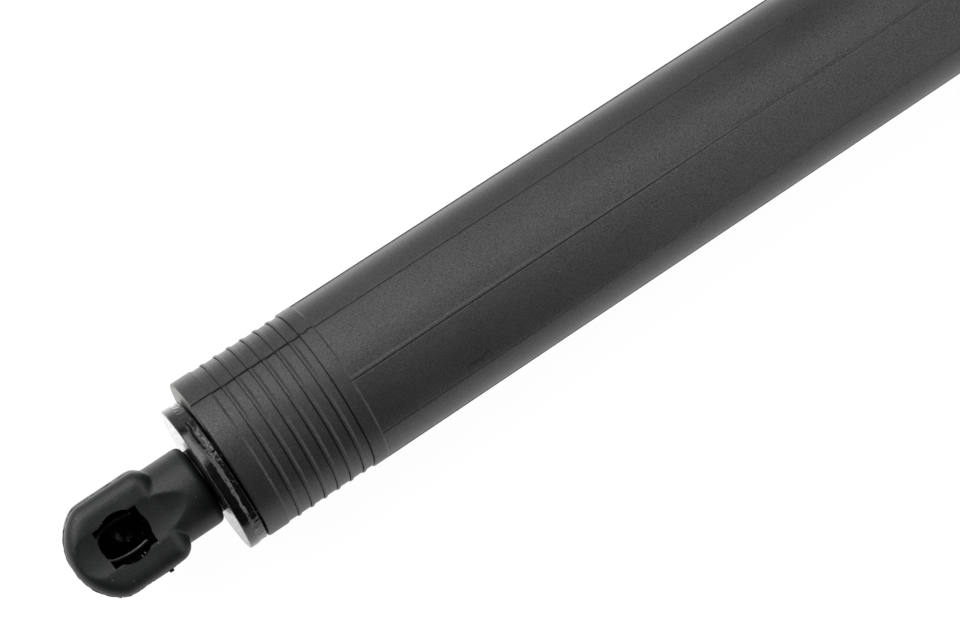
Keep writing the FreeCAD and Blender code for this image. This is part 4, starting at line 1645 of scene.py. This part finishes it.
@dataclass
class Studio:
    """Pale floor, white background and soft boxes.

    The camera sees the floor at the backdrop's level. Mirrored in the strut, the floor has the
    levels of the glow: the first on the -Y side, the second in a bright strip beside the strut on
    the +Y side, and the third beyond it. The reach is half the width of the rise between the first
    two, and the end is where the strip fades out.
    """

    floor_gap: float = 0.2 * MM
    floor_size: float = 8.0
    backdrop: float = 0.955
    glow: tuple[float, float, float] = (0.95, 2.1, 0.62)
    glow_reach: float = 35.0 * MM
    glow_end: tuple[float, float] = (31.0 * MM, 56.0 * MM)
    floor_shade: float = 0.09
    floor_bounce: float = 0.8
    ambient: float = 0.02
    aim: Vector = Vector((85, 0, 0)) * MM
    boxes: tuple[SoftBox, ...] = (
        SoftBox("side_bank", 58, 13, 1.15, 0.3, 1.95),
        SoftBox("overhead", 8, 28, 1.0, 0.5, 3.5),
        SoftBox("low_bank", -52, 31, 0.85, 0.3, 2.0),
        SoftBox("key_bank", 50, -25, 0.9, 0.85, 10.8),
    )

    def rays(self, tree: bpy.types.NodeTree, *kinds: str) -> bpy.types.NodeSocket:
        """Gives 1 for the named kinds of ray and 0 for others.

        Args:
            tree: The tree of a material or of the world.
            kinds: Outputs of the Light Path node.

        Returns:
            A socket from 0 to 1.
        """
        path = add_node(tree, "ShaderNodeLightPath")
        total = path.outputs[kinds[0]]
        for kind in kinds[1:]:
            total = add_node(
                tree, "ShaderNodeMath", links={0: total, 1: path.outputs[kind]}, operation="ADD",
                use_clamp=True,
            ).outputs[0]
        return total

    def mirrored_level(self, tree: bpy.types.NodeTree) -> bpy.types.NodeSocket:
        """Gives the brightness of the floor as the strut mirrors it.

        Args:
            tree: The floor's node tree.

        Returns:
            A socket with the strength of the glow.
        """
        place = add_node(tree, "ShaderNodeTexCoord").outputs["Object"]
        across = add_node(tree, "ShaderNodeSeparateXYZ", links={0: place})
        lit = add_node(
            tree, "ShaderNodeMapRange",
            {
                "From Min": -self.glow_reach, "From Max": self.glow_reach,
                "To Min": self.glow[0], "To Max": self.glow[1],
            },
            {"Value": across.outputs["Y"]}, interpolation_type="SMOOTHSTEP",
        )
        dimmed = add_node(
            tree, "ShaderNodeMapRange",
            {
                "From Min": self.glow_end[0], "From Max": self.glow_end[1],
                "To Min": 1.0, "To Max": self.glow[2] / self.glow[1],
            },
            {"Value": across.outputs["Y"]}, interpolation_type="SMOOTHSTEP",
        )
        level = add_node(
            tree, "ShaderNodeMath", links={0: lit.outputs["Result"], 1: dimmed.outputs["Result"]},
            operation="MULTIPLY",
        )
        return level.outputs[0]

    def white_card(self) -> bpy.types.Material:
        """Makes the floor's material, which looks white and keeps a faint shadow.

        Returns:
            The material.
        """
        material = bpy.data.materials.new("white_card")
        material.use_nodes = True
        tree = material.node_tree
        tree.nodes.clear()
        seen = self.rays(tree, "Is Camera Ray", "Is Glossy Ray", "Is Transmission Ray")
        shade = add_node(tree, "ShaderNodeBsdfDiffuse", {"Color": grey(self.floor_shade)})
        strength = add_node(
            tree, "ShaderNodeMix", {3: self.backdrop},
            {0: self.rays(tree, "Is Camera Ray"), 2: self.mirrored_level(tree)},
        )
        glow = add_node(
            tree, "ShaderNodeEmission", {"Color": grey(1)}, {"Strength": strength.outputs[0]},
        )
        white = add_node(
            tree, "ShaderNodeAddShader", links={0: shade.outputs[0], 1: glow.outputs[0]},
        )
        bounce = add_node(tree, "ShaderNodeBsdfDiffuse", {"Color": grey(self.floor_bounce)})
        both = add_node(
            tree, "ShaderNodeMixShader", links={0: seen, 1: bounce.outputs[0], 2: white.outputs[0]},
        )
        add_node(tree, "ShaderNodeOutputMaterial", links={"Surface": both.outputs[0]})
        return material

    def floor(self) -> bpy.types.Object:
        """Lays the floor under the strut.

        Returns:
            The floor, which belongs to the stage and not to the part.
        """
        bpy.ops.object.select_all(action="DESELECT")
        low = CAD_BOUNDS[0].z - self.floor_gap
        bpy.ops.mesh.primitive_plane_add(size=self.floor_size, location=(0, 0, low))
        plane = rename(bpy.context.object, "studio_floor")
        settle(plane)
        plane.data.materials.append(self.white_card())
        return plane

    def sky(self) -> None:
        """Shows white behind everything, and leaves the light to the soft boxes."""
        world = bpy.data.worlds.new("white_background")
        bpy.context.scene.world = world
        world.use_nodes = True
        tree = world.node_tree
        tree.nodes.clear()
        seen = self.rays(tree, "Is Camera Ray", "Is Transmission Ray")
        dim, white = [
            add_node(tree, "ShaderNodeBackground", {"Color": grey(1), "Strength": strength})
            for strength in (self.ambient, 1.0)
        ]
        both = add_node(
            tree, "ShaderNodeMixShader", links={0: seen, 1: dim.outputs[0], 2: white.outputs[0]},
        )
        add_node(tree, "ShaderNodeOutputWorld", links={"Surface": both.outputs[0]})

    def build(self) -> None:
        """Sets up floor, background and lamps."""
        self.floor()
        self.sky()
        for box in self.boxes:
            box.hang(self.aim)


@dataclass
class PhotoCamera:
    """Camera at the place that the photograph was taken from.

    The turn is in degrees about X, Y and Z. The sensor and the lens are in millimetres, and the
    reach is how near and how far the camera sees, in metres.
    """

    place: Vector = Vector((-8.279, 31.305, 442.965)) * MM
    turn: tuple[float, float, float] = (2.9845, -12.6488, -33.7168)
    sensor: float = 36.0
    lens: float = 79.6
    reach: tuple[float, float] = (0.01, 50.0)

    def build(self) -> None:
        """Creates the camera and makes it the scene's own."""
        data = bpy.data.cameras.new("photo_camera")
        data.sensor_width = self.sensor
        data.lens = self.lens
        data.clip_start, data.clip_end = self.reach
        camera = bpy.data.objects.new("photo_camera", data)
        bpy.context.scene.collection.objects.link(camera)
        camera.location = self.place
        camera.rotation_euler = Euler([math.radians(a) for a in self.turn], "XYZ")
        bpy.context.scene.camera = camera


def main() -> None:
    """Builds the strut's pieces, the studio and the camera, and logs each piece's face count."""
    logging.basicConfig(level=logging.INFO, format="%(message)s")
    bpy.context.scene.view_settings.view_transform = "Standard"
    PhotoCamera().build()
    Studio().build()
    shop = Paintshop()
    builders: list[Callable[[], list[bpy.types.Object]]] = [
        CoverTube(shop).build,
        EndPlate(shop).build,
        BallSocket(shop).build,
        HelperSpring(shop).build,
        CarriedNodes(shop).build,
    ]
    for builder in builders:
        for piece in builder():
            LOG.info("%s: %d faces", piece.name, len(piece.data.polygons))


if __name__ == "__main__":
    main()
